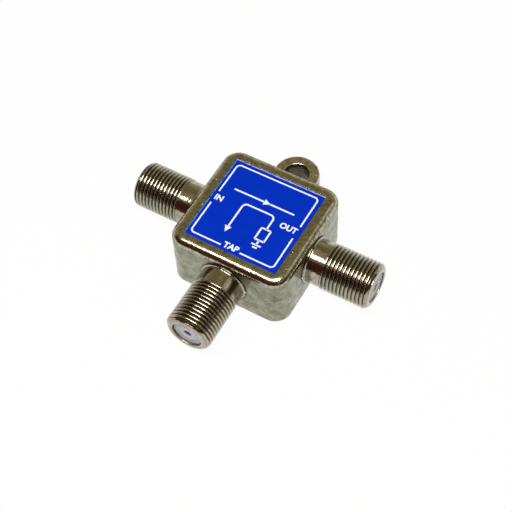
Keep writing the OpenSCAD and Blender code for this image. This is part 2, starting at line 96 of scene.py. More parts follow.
@dataclass
class Surface:
    """Points in millimetres and the faces between them."""

    points: Array
    faces: list[Array]

    def volume(self) -> float:
        """Sums the tetrahedra between each triangle and the origin.

        Returns:
            The volume, negative where the faces point inwards.
        """
        total = 0.0
        for faces in self.faces:
            first = self.points[faces[:, 0]]
            for k in range(1, faces.shape[1] - 1):
                across = np.cross(self.points[faces[:, k]], self.points[faces[:, k + 1]])
                total += float((first * across).sum()) / 6
        return total

    def to_object(self, name: str, crease_deg: float = 35.0) -> Piece:
        """Stores the surface as a mesh object with outward faces.

        Args:
            name: The object's name.
            crease_deg: Edges bent by more than this stay sharp in the shading.

        Returns:
            The object, linked to the scene.
        """
        outward = self.volume() >= 0
        faces = [f if outward else f[:, ::-1] for f in self.faces]
        sizes = np.concatenate([np.full(len(f), f.shape[1]) for f in faces])
        mesh = new_mesh(name, self.points * MM, np.concatenate([f.ravel() for f in faces]), sizes)
        return shaded(link(bpy.data.objects.new(name, mesh)), crease_deg)


def new_mesh(name: str, points: Array, corners: Array, sizes: Array) -> bpy.types.Mesh:
    """Stores a mesh.

    Args:
        name: The mesh's name.
        points: Its points, in metres.
        corners: The point numbers of all faces, one face after another.
        sizes: The number of corners of each face.

    Returns:
        The mesh.
    """
    mesh = bpy.data.meshes.new(name)
    mesh.vertices.add(len(points))
    mesh.vertices.foreach_set("co", points.astype(np.float32).ravel())
    mesh.loops.add(len(corners))
    mesh.loops.foreach_set("vertex_index", corners.astype(np.int32))
    mesh.polygons.add(len(sizes))
    starts = np.concatenate([[0], np.cumsum(sizes)[:-1]])
    mesh.polygons.foreach_set("loop_start", starts.astype(np.int32))
    mesh.update(calc_edges=True)
    return mesh


def points_of(mesh: bpy.types.Mesh) -> Array:
    """Reads a mesh's points.

    Args:
        mesh: The mesh.

    Returns:
        Its points, one to a row.
    """
    points = np.zeros(len(mesh.vertices) * 3, np.float32)
    mesh.vertices.foreach_get("co", points)
    return points.reshape(-1, 3)


def link(piece: Piece) -> Piece:
    """Puts an object into the scene and returns it."""
    bpy.context.scene.collection.objects.link(piece)
    return piece


def remove(piece: Piece) -> None:
    """Deletes an object and its mesh.

    Args:
        piece: The object.
    """
    mesh = piece.data
    bpy.data.objects.remove(piece)
    bpy.data.meshes.remove(mesh)


def shaded(piece: Piece, crease_deg: float) -> Piece:
    """Shades a mesh smooth, with sharp edges where it bends much.

    Args:
        piece: The object.
        crease_deg: The bend, in degrees, above which an edge is sharp.

    Returns:
        The object.
    """
    piece.data.shade_smooth()
    piece.data.set_sharp_from_angle(angle=math.radians(crease_deg))
    return piece


def quads(rows: int, cols: int, wrap_rows: bool = False) -> Array:
    """Quads of a grid whose columns close on themselves.

    Quad (i, j) joins points (i, j), (i, j + 1), (i + 1, j + 1) and (i + 1, j), and the last column is
    followed by the first, as the last row is where wrap_rows is set.

    Args:
        rows: Number of rows of points.
        cols: Number of points in a row.
        wrap_rows: Whether the last row joins the first.

    Returns:
        Point numbers, four to a quad.
    """
    i, j = np.meshgrid(np.arange(rows if wrap_rows else rows - 1), np.arange(cols), indexing="ij")
    below, after = (i + 1) % rows, (j + 1) % cols
    corners = [i * cols + j, i * cols + after, below * cols + after, below * cols + j]
    return np.stack(corners, -1).reshape(-1, 4)


def closed_grid(grid: Array) -> Surface:
    """Closes a grid of rings at both ends by a fan to the middle of its end rings.

    Args:
        grid: Points, rows by columns by three, each row one ring.

    Returns:
        The closed surface.
    """
    rows, cols = grid.shape[:2]
    points = np.concatenate([grid.reshape(-1, 3), grid[[0, -1]].mean(axis=1)])
    ring = np.arange(cols)
    after = (ring + 1) % cols
    last = (rows - 1) * cols
    start_fan = np.stack([np.full(cols, rows * cols), after, ring], -1)
    end_fan = np.stack([np.full(cols, rows * cols + 1), last + ring, last + after], -1)
    return Surface(points, [quads(rows, cols), start_fan, end_fan])


def looped_grid(grid: Array) -> Surface:
    """Joins a grid's last row to its first, as on a ring or a tube with a wall."""
    rows, cols = grid.shape[:2]
    return Surface(grid.reshape(-1, 3), [quads(rows, cols, wrap_rows=True)])


def turned(profile: Array, steps: int) -> Array:
    """Turns a profile about the local Z axis.

    A profile point (s, r) becomes (r cos t, r sin t, s) for t from 0 round to a full turn.

    Args:
        profile: Points (s, r), one to a row.
        steps: Number of points round a turn.

    Returns:
        Grid of points, one row for each profile point.
    """
    t = np.linspace(0, 2 * np.pi, steps, endpoint=False)
    s, r = profile[:, :1], profile[:, 1:]
    return np.stack([r * np.cos(t), r * np.sin(t), s + 0 * t], -1)


def arc(centre: Pair, r: float, start: float, end: float, steps: int) -> Array:
    """Points c + r (cos a, sin a) for the angle a from start to end, in degrees."""
    a = np.radians(np.linspace(start, end, steps))
    return np.stack([centre[0] + r * np.cos(a), centre[1] + r * np.sin(a)], -1)


def rounded_outline(half_x: Array, half_y: Array, r: Array, corner: int, side: int) -> Array:
    """Round-cornered rectangles, one for each row of sizes.

    A corner's points are its centre plus r (cos a, sin a) over a quarter turn, and the points between
    two corners lie evenly on the straight line that joins their ends.

    Args:
        half_x: Half widths.
        half_y: Half depths.
        r: Corner radii.
        corner: Steps in a corner.
        side: Steps in a straight side.

    Returns:
        Grid of plane points, rows of sizes by points round the outline by two.
    """
    parts = []
    for quarter in range(4):
        a = np.radians(90 * quarter + np.linspace(0, 90, corner + 1))
        sign_x, sign_y = ((1, 1), (-1, 1), (-1, -1), (1, -1))[quarter]
        centre = np.stack([sign_x * (half_x - r), sign_y * (half_y - r)], -1)[:, None]
        parts.append(centre + r[:, None, None] * np.stack([np.cos(a), np.sin(a)], -1))
    joined = []
    share = np.linspace(0, 1, side + 1)[1:-1, None]
    for quarter in range(4):
        here, after = parts[quarter], parts[(quarter + 1) % 4]
        start, end = here[:, -1:], after[:, :1]
        joined += [here, start + share * (end - start)]
    return np.concatenate(joined, axis=1)


def lifted(flat: Array, z: float | Array) -> Array:
    """Plane points with a height added: one for all or one for each."""
    height = np.broadcast_to(np.reshape(z, (-1, 1)), (len(flat), 1))
    return np.concatenate([flat, height], -1)


def square(half: float, r: float, z: float) -> Row:
    """A row of a stack that is as deep as it is wide."""
    return half, half, r, z


def stacked(rows: Sequence[Row], corner: int, side: int) -> Array:
    """Stacks round-cornered rectangles.

    Args:
        rows: Half width, half depth, corner radius and height of each.
        corner: Steps in a corner.
        side: Steps in a straight side.

    Returns:
        Grid of points, one row for each rectangle.
    """
    half_x, half_y, r, z = np.array(rows, float).T
    flat = rounded_outline(half_x, half_y, r, corner, side)
    return np.concatenate([flat, np.broadcast_to(z[:, None, None], flat.shape[:2] + (1,))], -1)


def smooth_step(x: Array) -> Array:
    """Rise from 0 to 1 as 3 x^2 - 2 x^3, held flat outside 0 to 1."""
    x = np.clip(x, 0, 1)
    return x * x * (3 - 2 * x)


def apply_modifiers(piece: Piece) -> Piece:
    """Stores what an object's modifiers make as its mesh and takes the modifiers off.

    Args:
        piece: The object.

    Returns:
        The object.
    """
    graph = bpy.context.evaluated_depsgraph_get()
    mesh = bpy.data.meshes.new_from_object(piece.evaluated_get(graph))
    old = piece.data
    piece.modifiers.clear()
    piece.data = mesh
    mesh.name = piece.name
    bpy.data.meshes.remove(old)
    return piece


def combine(piece: Piece, others: Sequence[Piece], how: Join) -> Piece:
    """Adds closed meshes to another, cuts them out of it or keeps what they share.

    Args:
        piece: The mesh that stays.
        others: The meshes that work it, which are used up.
        how: What is done with them.

    Returns:
        The piece.
    """
    for other in others:
        step = piece.modifiers.new("combine", "BOOLEAN")
        step.operation = how.value
        step.solver = "MANIFOLD"
        step.object = other
    apply_modifiers(piece)
    for other in others:
        remove(other)
    return piece


# ---------------------------------------------------------------- shader nodes


class NodeSheet:
    """Short calls for the nodes of one material, world or node group."""

    def __init__(self, tree: Group) -> None:
        """Keeps the tree and empties it."""
        self.tree = tree
        tree.nodes.clear()

    def put(self, target: Socket, value: Value) -> None:
        """Wires a socket into another, or stores a number or colour on it.

        Args:
            target: The input that takes the value.
            value: A socket, a number or a colour.
        """
        if isinstance(value, Socket):
            self.tree.links.new(value, target)
        elif isinstance(value, tuple) and len(target.default_value) == 4:
            target.default_value = (*value, 1.0)
        else:
            target.default_value = value

    def node(
        self, kind: str, inputs: dict[str | int, Value] | None = None, **settings: object
    ) -> Node:
        """Adds a node with its settings and inputs.

        Args:
            kind: The node's type, without its ShaderNode prefix.
            inputs: Values or sockets by input name or number.
            **settings: The node's own properties.

        Returns:
            The node.
        """
        made = self.tree.nodes.new(kind if kind.startswith("Node") else "ShaderNode" + kind)
        for key, value in settings.items():
            setattr(made, key, value)
        for key, value in (inputs or {}).items():
            self.put(made.inputs[key], value)
        return made

    def maths(self, operation: str, *values: Value, clamp: bool = False) -> Socket:
        """One Math node."""
        made = self.node("Math", dict(enumerate(values)), operation=operation, use_clamp=clamp)
        return made.outputs[0]

    def vector(self, operation: str, value: Value) -> Socket:
        """One Vector Math node of one vector: its vector, or its number for a length."""
        made = self.node("VectorMath", {0: value}, operation=operation)
        return made.outputs["Value" if operation == "LENGTH" else "Vector"]

    def chain(self, operation: str, *values: Value) -> Socket:
        """Two or more values taken together, one after another, by one kind of Math node."""
        return functools.reduce(functools.partial(self.maths, operation), values)

    def ramp(self, value: Value, low: float, high: float, start: float = 0.0, end: float = 1.0) -> Socket:
        """Smooth change from start to end as value goes from low to high."""
        inputs = {"Value": value, "From Min": low, "From Max": high, "To Min": start, "To Max": end}
        return self.node("MapRange", inputs, interpolation_type="SMOOTHSTEP").outputs["Result"]

    def mix(self, share: Value, first: Value, second: Value) -> Socket:
        """Mixes two colours.

        Args:
            share: How much of the second is in it, from 0 to 1.
            first: The colour at 0.
            second: The colour at 1.

        Returns:
            The mixed colour.
        """
        made = self.node("Mix", data_type="RGBA")
        for key, value in ((0, share), (6, first), (7, second)):
            self.put(made.inputs[key], value)
        return made.outputs[2]

    def between(self, share: Value, first: Value, second: Value) -> Socket:
        """Mixes two numbers.

        Args:
            share: How much of the second is in it, from 0 to 1.
            first: The number at 0.
            second: The number at 1.

        Returns:
            The mixed number.
        """
        made = self.node("Mix", data_type="FLOAT")
        for key, value in ((0, share), (2, first), (3, second)):
            self.put(made.inputs[key], value)
        return made.outputs[0]

    def noise(self, place: Value, scale: Value, detail: float = 2.0, rough: float = 0.5) -> Socket:
        """Fractal noise from 0 to 1."""
        inputs = {"Vector": place, "Scale": scale, "Detail": detail, "Roughness": rough}
        return self.node("TexNoise", inputs).outputs[0]

    def place(self) -> Socket:
        """The point in the part's frame, in millimetres."""
        coord = self.node("TexCoord").outputs["Object"]
        return self.node("VectorMath", {0: coord, "Scale": 1 / MM}, operation="SCALE").outputs["Vector"]

    def split(self, vector: Value) -> list[Socket]:
        """The three numbers of a vector."""
        return list(self.node("SeparateXYZ", {0: vector}).outputs)

    def bump(self, height: Value, depth_mm: float, normal: Value | None = None) -> Socket:
        """Bends the normal as over a raised surface.

        Args:
            height: How high a point is, in units of the depth.
            depth_mm: The depth, in millimetres.
            normal: The normal to bend, or none for the surface's own.

        Returns:
            The bent normal.
        """
        inputs: dict[str | int, Value] = {"Height": height, "Distance": depth_mm * MM, "Strength": 1.0}
        if normal is not None:
            inputs["Normal"] = normal
        return self.node("Bump", inputs).outputs[0]


def new_group(name: str, inputs: dict[str, float]) -> tuple[NodeSheet, Sequence[Socket]]:
    """Starts a node group with number inputs.

    Args:
        name: The group's name.
        inputs: Default of each input.

    Returns:
        The group's sheet and its inputs' values.
    """
    tree = bpy.data.node_groups.new(name, "ShaderNodeTree")
    for key, value in inputs.items():
        tree.interface.new_socket(key, in_out="INPUT", socket_type="NodeSocketFloat").default_value = value
    sheet = NodeSheet(tree)
    return sheet, sheet.node("NodeGroupInput").outputs


def end_group(sheet: NodeSheet, outputs: dict[str, Socket]) -> Group:
    """Ends a node group in number outputs.

    Args:
        sheet: The group's sheet.
        outputs: What each output gives.

    Returns:
        The group.
    """
    for key in outputs:
        sheet.tree.interface.new_socket(key, in_out="OUTPUT", socket_type="NodeSocketFloat")
    sheet.node("NodeGroupOutput", outputs)
    return sheet.tree


@functools.cache
def patches() -> Group:
    """Group of soft patches over a finer grain.

    Two noises of the point in the frame: one at Scale patches to a millimetre, sharpened by Contrast
    about its middle, and one at Grain Scale. Height is the grain with a share of the patches.

    Returns:
        The group.
    """
    sheet, given = new_group("patches", {"Scale": 0.5, "Grain Scale": 5.0, "Contrast": 2.0})
    spot = sheet.place()
    wide = sheet.maths("SUBTRACT", sheet.noise(spot, given["Scale"], 3.0, 0.6), 0.5)
    wide = sheet.maths("MULTIPLY_ADD", wide, given["Contrast"], 0.5, clamp=True)
    fine = sheet.noise(spot, given["Grain Scale"], 3.0, 0.65)
    height = sheet.maths("MULTIPLY_ADD", wide, 0.5, fine)
    return end_group(sheet, {"Patches": wide, "Grain": fine, "Height": height})


@functools.cache
def port_place() -> Group:
    """Group that tells where a point lies by the nearest port axis.

    Out is the distance from the body's centre along the port: the larger of |x| and -y. From Axis is
    the distance from that port's axis, which runs at Axis Height.

    Returns:
        The group.
    """
    sheet, given = new_group("port_place", {"Axis Height": 6.8})
    x, y, z = sheet.split(sheet.place())
    up = sheet.maths("SUBTRACT", z, given["Axis Height"])
    side_on, front_on = sheet.maths("ABSOLUTE", x), sheet.maths("MULTIPLY", y, -1.0)
    across = sheet.between(sheet.maths("GREATER_THAN", side_on, front_on), x, y)
    squares = sheet.maths("ADD", *(sheet.maths("POWER", v, 2.0) for v in (across, up)))
    out = sheet.maths("MAXIMUM", side_on, front_on)
    return end_group(sheet, {"Out": out, "From Axis": sheet.maths("SQRT", squares)})


@functools.cache
def pits() -> Group:
    """Group of scattered round pits.

    Cells of Scale to a millimetre each have a point; a pit is where the distance to that point is
    under Size and the cell's own random number is over Bareness.

    Returns:
        The group.
    """
    sheet, given = new_group("pits", {"Scale": 1.0, "Size": 0.2, "Bareness": 0.7})
    cells = sheet.node("TexVoronoi", {"Vector": sheet.place(), "Scale": given["Scale"]}).outputs
    near = sheet.ramp(sheet.maths("DIVIDE", cells["Distance"], given["Size"]), 0.5, 1.0, 1.0, 0.0)
    kept = sheet.maths("GREATER_THAN", sheet.split(cells["Color"])[0], given["Bareness"])
    return end_group(sheet, {"Mask": sheet.maths("MULTIPLY", near, kept)})


def spaced(values: dict[str, Value]) -> dict[str | int, Value]:
    """The same values under names with spaces in place of underscores."""
    return {key.replace("_", " "): value for key, value in values.items()}


def effect(sheet: NodeSheet, tree: Group, **values: float) -> Sequence[Socket]:
    """Places a shared group with its own values, named with spaces as underscores, for its outputs."""
    return sheet.node("Group", spaced(values), node_tree=tree).outputs


def spots_of(sheet: NodeSheet, scale: float, grain: float, contrast: float) -> Sequence[Socket]:
    """Places the group of soft patches for its outputs."""
    return effect(sheet, patches(), Scale=scale, Grain_Scale=grain, Contrast=contrast)


def shader(sheet: NodeSheet, **values: Value) -> None:
    """Ends a material in a Principled shader with these inputs, named with spaces as underscores."""
    made = sheet.node("BsdfPrincipled", spaced(values))
    sheet.node("OutputMaterial", {"Surface": made.outputs[0]})


def new_material(name: str) -> tuple[Material, NodeSheet]:
    """Makes a material with an empty node sheet.

    Args:
        name: The material's name.

    Returns:
        The material and its sheet.
    """
    material = bpy.data.materials.new(name)
    material.use_nodes = True
    return material, NodeSheet(material.node_tree)


def dress(piece: Piece, material: Material) -> None:
    """Gives a piece one material all over."""
    piece.data.materials.clear()
    piece.data.materials.append(material)


@dataclass(frozen=True)
class Finish:
    """A plain finish: a colour and a second one in patches, over a fine grain.

    Attributes:
        name: The material's name.
        colour: Main colour.
        patch_colour: Colour in the patches.
        roughness: Roughness in the main colour and in the patches.
        metallic: Share of metal.
        coat: Weight of a clear lacquer.
        patch_size: Size of the patches, in millimetres.
        grain_size: Size of the grain, in millimetres.
        depth: Depth of the grain, in millimetres.
        contrast: Sharpness of the patches.
    """

    name: str
    colour: Colour
    patch_colour: Colour
    roughness: Pair = (0.4, 0.5)
    metallic: float = 0.0
    coat: float = 0.0
    patch_size: float = 1.5
    grain_size: float = 0.15
    depth: float = 0.01
    contrast: float = 2.0

    def material(self) -> Material:
        """Builds the material.

        Returns:
            The material.
        """
        material, sheet = new_material(self.name)
        spots = spots_of(sheet, 1 / self.patch_size, 1 / self.grain_size, self.contrast)
        share = spots["Patches"]
        shader(
            sheet,
            Base_Color=sheet.mix(share, self.colour, self.patch_colour),
            Roughness=sheet.between(share, *self.roughness),
            Metallic=self.metallic,
            Coat_Weight=self.coat,
            Coat_Roughness=0.12,
            Normal=sheet.bump(spots["Height"], self.depth),
        )
        return material


# ---------------------------------------------------------------- casting


@dataclass(frozen=True)
class PortForm:
    """What the three ports share, from the body outwards.

    Attributes:
        edge: Radius of the foot's and the end's small edges.
        neck_slope: Length over which the neck falls to the thread's root.
        overlap: Depth by which faces that meet are run into each other.
        lead_turns: Turns of the thread before its first whole one.
        past_turns: Turns that it is made too long by, to be cut off at the end.
        crest: Points of the rounded crest, beyond the crest's half width and below its top.
        flank_top: How far below the top the straight flank ends.
        ridge_sink: How deep the ridge stands in the port.
        thread_back: How far the thread is set back towards the body.
        nose_turn: Half the angle that the rounded end turns through, in degrees.
        steps: Points round a turn.
    """

    axis_h: float = 6.8
    neck_r: float = 4.55
    foot_r: float = 4.85
    foot_h: float = 0.15
    edge: float = 0.06
    neck_slope: float = 0.12
    overlap: float = 0.02
    thread_r: float = 4.72
    root_r: float = 4.22
    pitch: float = 0.794
    turns: int = 11
    lead_turns: float = 0.6
    past_turns: float = 1.4
    crest_w: float = 0.3
    crest: tuple[Pair, ...] = ((0.035, 0.085), (-0.005, 0.045), (-0.06, 0.0175))
    flank_top: float = 0.14
    root_w: float = 0.12
    ridge_sink: float = 0.12
    thread_back: float = 0.16
    end_chamfer: float = 0.8
    nose_turn: float = 20.0
    bore_r: float = 3.15
    bore_room: float = 0.4
    mouth_chamfer: float = 0.05
    shoulder: float = 13.4
    wall_hole_r: float = 2.15
    steps: int = 96


@dataclass(frozen=True)
class PortSizes:
    """One port: which it is and where its thread starts round the axis."""

    port: Port
    start_deg: float = 0.0


@dataclass(frozen=True)
class NickelFinish:
    """Nickel plate over zinc, polished on the ports, dull and blotched on the cast walls.

    Dents, ripple, grain and pits are depths in millimetres, and a port has port_calm of them. Each
    roughness pair goes from the plain metal to its patches. The patch triples are patches to a
    millimetre, grain to a millimetre and contrast, and the pits' are scale, size and bareness. Outside
    the wide patches the fine ones show by fine_share. The grooves carry a painted shade that is darker
    where they face up, and the face's finish takes over from the walls', as the normal's upward part
    goes through the groove shade's fade and up_fade. Dark pits share one colour with a painted shade,
    with dirt, at the ports' feet, and with a painted shade in the bores and in the ear's hole; the bore
    turns dull as its painted shade goes through dull_fade. The other fades are the distances in
    millimetres between which one finish turns into the next: from the wall outwards, or from the
    groove's, bore's or hole's own radius.
    """

    face: Colour = (0.54, 0.53, 0.41)
    face_patch: Colour = (0.19, 0.13, 0.065)
    ear_face: Colour = (0.79, 0.70, 0.64)
    # Specular tint of the face, a painted shade that dims its reflection where it is seen edge-on
    edge_shade_tint: Colour = (0.4, 0.38, 0.28)
    wall: Colour = (0.335, 0.336, 0.25)
    wall_patch: Colour = (0.16, 0.15, 0.09)
    port: Colour = (0.44, 0.42, 0.34)
    port_patch: Colour = (0.27, 0.215, 0.14)
    # Painted shade in the thread grooves: dark where they face up, paler where they face down
    groove_shade_top: Colour = (0.12, 0.10, 0.065)
    groove_shade_low: Colour = (0.37, 0.36, 0.28)
    # Dark colour of the pits, and of the painted shade at the ports' feet, in the bores and in the ear's
    # hole
    grime_and_shade: Colour = (0.07, 0.055, 0.035)
    # Width and strength of the painted shade, with dirt, in the corner round each port's foot
    foot_shade_w: float = 0.7
    foot_shade: float = 0.75
    # Strength of the painted shade on the bore wall inside each port's mouth
    bore_shade: float = 0.5
    # Strength of the painted shade inside the ear's hole
    ear_hole_shade: float = 0.92
    wall_dents: float = 0.05
    face_dents: float = 0.024
    ripple: float = 0.009
    grain: float = 0.003
    pit_depth: float = 0.04
    port_calm: float = 0.55
    face_rough: Pair = (0.11, 0.2)
    wall_rough: Pair = (0.18, 0.32)
    port_rough: Pair = (0.09, 0.15)
    groove_rough: float = 0.25
    bore_rough: float = 0.6
    wide: Triple = (0.6, 4.0, 2.6)
    fine: Triple = (1.7, 9.0, 3.4)
    pitting: Triple = (0.8, 0.09, 0.62)
    fine_share: float = 0.3
    up_fade: Pair = (0.0, 0.3)
    # Upward part of the normal over which the grooves' painted shade darkens
    settle: Pair = (0.05, 0.55)
    dull_fade: Pair = (0.0, 0.1)
    ear_fade: Pair = (0.3, 1.2)
    port_fade: Pair = (0.1, 0.3)
    thread_fade: Pair = (2.6, 3.4)
    foot_fade: Pair = (-0.2, 0.05)
    foot_end: Pair = (0.15, 0.25)
    groove_fade: Pair = (0.02, -0.06)
    nose_fade: Pair = (-0.1, 0.15)
    bore_fade: Pair = (0.02, 0.06)
    mouth_fade: Pair = (-0.05, -0.15)
    hole_fade: Pair = (0.02, 0.08)

    def material(self, form: PortForm, half: float, reach: float, hole: Pair) -> Material:
        """Builds the material.

        Args:
            form: The ports' sizes, for the painted shade between the threads.
            half: Half width of the body, where the ports begin.
            reach: Distance of the ports' ends from the body's centre.
            hole: Place along Y and radius of the ear's hole, which gets a painted shade inside.

        Returns:
            The material.
        """
        material, sheet = new_material("nickel_plate")
        ramp, mix, between, maths = sheet.ramp, sheet.mix, sheet.between, sheet.maths

        def fade(value: Socket, start: float, span: Pair, first: float = 0.0, last: float = 1.0) -> Socket:
            """Change from first to last as value crosses a span that is counted from start."""
            return ramp(value, start + span[0], start + span[1], first, last)

        out, from_axis = effect(sheet, port_place(), Axis_Height=form.axis_h)
        x, y, _ = sheet.split(sheet.place())
        facing = sheet.split(sheet.node("TexCoord").outputs["Normal"])[2]
        wide, fine = spots_of(sheet, *self.wide), spots_of(sheet, *self.fine)
        broad, close = wide["Patches"], fine["Patches"]
        blotch = maths("MULTIPLY", close, between(broad, self.fine_share, 1.0))
        upward, on_port = ramp(facing, *self.up_fade), fade(out, half, self.port_fade)

        root, crest = (r + d for r, d in zip((form.root_r, form.thread_r), self.groove_fade))
        in_groove = sheet.chain(
            "MULTIPLY", ramp(from_axis, root, crest, 1.0, 0.0), fade(out, half, self.thread_fade),
            fade(out, reach - form.end_chamfer, self.nose_fade, 1.0, 0.0),
        )
        # Painted shade, with dirt, in the corner round each port's foot
        by_foot = sheet.chain(
            "MULTIPLY", ramp(from_axis, form.foot_r, form.foot_r + self.foot_shade_w, 1.0, 0.0),
            fade(out, half, self.foot_fade), fade(out, half, self.foot_end, self.foot_shade, 0.0),
        )
        # Painted shade on the bore wall inside each port's mouth
        in_bore = maths(
            "MULTIPLY", fade(from_axis, form.bore_r, self.bore_fade, 1.0, 0.0),
            fade(out, reach, self.mouth_fade, 0.0, self.bore_shade),
        )
        # Painted shade inside the ear's hole
        hole_y, hole_r = hole
        off_hole = sheet.node("CombineXYZ", {0: x, 1: maths("SUBTRACT", y, hole_y)}).outputs[0]
        in_hole = fade(sheet.vector("LENGTH", off_hole), hole_r, self.hole_fade, self.ear_hole_shade, 0.0)
        scale, size, bareness = self.pitting
        mask = effect(sheet, pits(), Scale=scale, Size=size, Bareness=bareness)["Mask"]
        pit = maths("MULTIPLY", mask, maths("SUBTRACT", 1.0, on_port))

        top = mix(fade(y, half, self.ear_fade), self.face, self.ear_face)
        colour = mix(upward, mix(broad, self.wall, self.wall_patch), mix(blotch, top, self.face_patch))
        colour = mix(on_port, colour, mix(blotch, self.port, self.port_patch))
        # Painted shade in the grooves, darker the more they face up
        settled = ramp(facing, *self.settle)
        colour = mix(in_groove, colour, mix(settled, self.groove_shade_low, self.groove_shade_top))
        # Darkens the pits, and paints shade at the ports' feet, in the bores and in the ear's hole
        colour = mix(sheet.chain("MAXIMUM", pit, by_foot, in_bore, in_hole), colour, self.grime_and_shade)

        rough = between(upward, between(broad, *self.wall_rough), between(close, *self.face_rough))
        rough = between(on_port, rough, between(close, *self.port_rough))
        rough = between(in_groove, rough, self.groove_rough)
        rough = between(ramp(in_bore, *self.dull_fade), rough, self.bore_rough)

        dents = maths("MULTIPLY", broad, between(upward, self.wall_dents, self.face_dents))
        dents = maths("MULTIPLY_ADD", close, self.ripple, dents)
        dents = maths("MULTIPLY_ADD", wide["Grain"], self.grain, dents)
        dents = maths("MULTIPLY", dents, between(on_port, 1.0, self.port_calm))
        dents = maths("MULTIPLY_ADD", pit, -self.pit_depth, dents)
        # The face's dark specular tint is a painted shade on its edge-on reflection
        white = (1.0, 1.0, 1.0)
        shader(
            sheet, Base_Color=colour, Roughness=rough, Metallic=1.0,
            Specular_Tint=mix(on_port, mix(upward, white, self.edge_shade_tint), white),
            Normal=sheet.bump(dents, 1.0),
        )
        return material


@dataclass
class Casting:
    """The one-piece housing: box, ports, ear and posts."""

    half: float = 12.65
    draft: float = 0.1
    height: float = 13.3
    corner_r: float = 3.4
    rim_r: float = 1.7
    wall: float = 1.9
    face_wall: float = 1.5
    hollow_fillet: float = 0.5
    label_half: Pair = (10.0, 10.15)
    label_recess: float = 0.3
    recess_r: float = 0.12
    recess_edge: float = 0.035
    recess_edge_r: float = 0.18
    back_rim_w: float = 1.3
    back_edge: float = 0.15
    cover_depth: float = 1.0
    cover_edge: float = 0.08
    parting_h: float = 0.03
    parting_w: float = 0.07
    ear_y: float = 16.3
    ear_r: float = 4.7
    ear_h: float = 7.3
    ear_hole_r: float = 2.6
    ear_low_edge: float = 0.15
    ear_edge: float = 0.45
    ear_hole_edge: float = 0.17
    board_top: float = 4.3
    post_r: float = 1.7
    post_at: float = 9.3
    post_sink: float = 0.2
    peg_r: float = 0.6
    peg_low: float = 2.5
    peg_tip: Pair = (0.3, 0.12)
    nub: Triple = (0.24, 0.22, 0.16)
    nub_sink: float = 0.05
    nub_drop: float = 0.1
    form: PortForm = field(default_factory=PortForm)
    ports: tuple[PortSizes, ...] = (
        PortSizes(Port.IN, 122.0), PortSizes(Port.OUT, -112.0), PortSizes(Port.TAP, 135.0),
    )
    pinholes: tuple[Triple, ...] = (
        (10.45, -4.3, 0.2), (10.5, -4.95, 0.18), (10.6, -5.4, 0.12), (11.3, -8.2, 0.1), (-10.9, 3.6, 0.09),
    )
    finish: NickelFinish = field(default_factory=NickelFinish)

    def reach(self, port: Port) -> float:
        """Distance of a port's end from the body's centre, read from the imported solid."""
        low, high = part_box("housing")
        return {Port.IN: -low.x, Port.OUT: high.x, Port.TAP: -low.y}[port] / MM

    def at_port(self, points: Array, port: Port) -> Array:
        """Sets local points on a port's axis: local +Z leaves the port and local +X points down.

        Args:
            points: Points, in a grid of any shape.
            port: The port.

        Returns:
            The same grid in the part's frame.
        """
        a = math.radians(port.value)
        flat = points.reshape(-1, 3)
        out, side, up = flat[:, 2], flat[:, 1], self.form.axis_h - flat[:, 0]
        x = math.cos(a) * out - math.sin(a) * side
        y = math.sin(a) * out + math.cos(a) * side
        return np.stack([x, y, up], -1).reshape(points.shape)

    def stand(self, surface: Surface, port: Port, name: str) -> Piece:
        """Stands a surface made about the local axis on a port's axis, as an object."""
        return Surface(self.at_port(surface.points, port), surface.faces).to_object(name)

    def shell(self) -> Surface:
        """The box as one closed sheet, from the label's recess over the rim and round to the hollow.

        Each row is a round-cornered rectangle. The rim's rows go a quarter turn: half width
        h - R + R sin a and height H - R + R cos a. The walls lean out by the draft towards the back, and
        carry a low ridge where the die's halves met, of height p exp(-((z - z0) / w)^2).

        Returns:
            The surface.
        """
        h, top, rim = self.half, self.height, self.rim_r
        (lx, ly), lr = self.label_half, self.recess_r
        e, er = self.recess_edge, self.recess_edge_r
        rows = [(lx * k, ly * k, lr * k, top - self.label_recess) for k in (0.25, 0.6, 1.0)]
        rows += [(lx + s, ly + s, lr + s, z) for s, z in arc((e, top - e), e, 180, 90, 5)]
        inner, inner_r = h - rim, self.corner_r - rim
        fx, fy = inner - lx - e, inner - ly - e
        rows += [(lx + e + k * fx, ly + e + k * fy, er + k * (inner_r - er), top)
                 for k in np.linspace(0.15, 0.9, 5)]
        rows += [square(inner + rim * s, inner_r + rim * s, top - rim + rim * c)
                 for s, c in arc((0, 0), 1, 90, 0, 17)]
        edge, parting = self.back_edge, self.form.axis_h
        near = parting + np.array([-0.3, -0.12, -0.06, 0, 0.06, 0.12, 0.3])
        heights = np.concatenate([
            np.linspace(top - rim, near[-1], 8)[1:-1], near[::-1], np.linspace(near[0], edge, 9)[1:],
        ])
        lean = self.draft * (1 - heights / (top - rim))
        ridge = self.parting_h * np.exp(-(((heights - parting) / self.parting_w) ** 2))
        rows += map(square, h + lean + ridge, self.corner_r + lean, heights)
        base = h + self.draft - edge
        rows += [square(base + s, self.corner_r, edge + c) for s, c in arc((0, 0), edge, 0, -90, 5)[1:]]
        cover, cover_r = h - self.back_rim_w, self.corner_r - self.back_rim_w
        hollow, hollow_r = h - self.wall, self.corner_r - self.wall
        ceiling, fillet = top - self.face_wall, self.hollow_fillet
        rows.append(square(cover + self.cover_edge, cover_r, 0.0))
        rows += [square(cover, cover_r, z) for z in (self.cover_edge, self.cover_depth)]
        rows += [square(hollow, hollow_r, z) for z in np.linspace(self.cover_depth, ceiling - fillet, 6)]
        rows += [square(hollow - fillet + s, hollow_r, ceiling - fillet + c)
                 for s, c in arc((0, 0), fillet, 0, 90, 5)[1:]]
        rows += [square(hollow * k, hollow_r * k, ceiling) for k in (0.6, 0.25)]
        return closed_grid(stacked(rows, 18, 28))

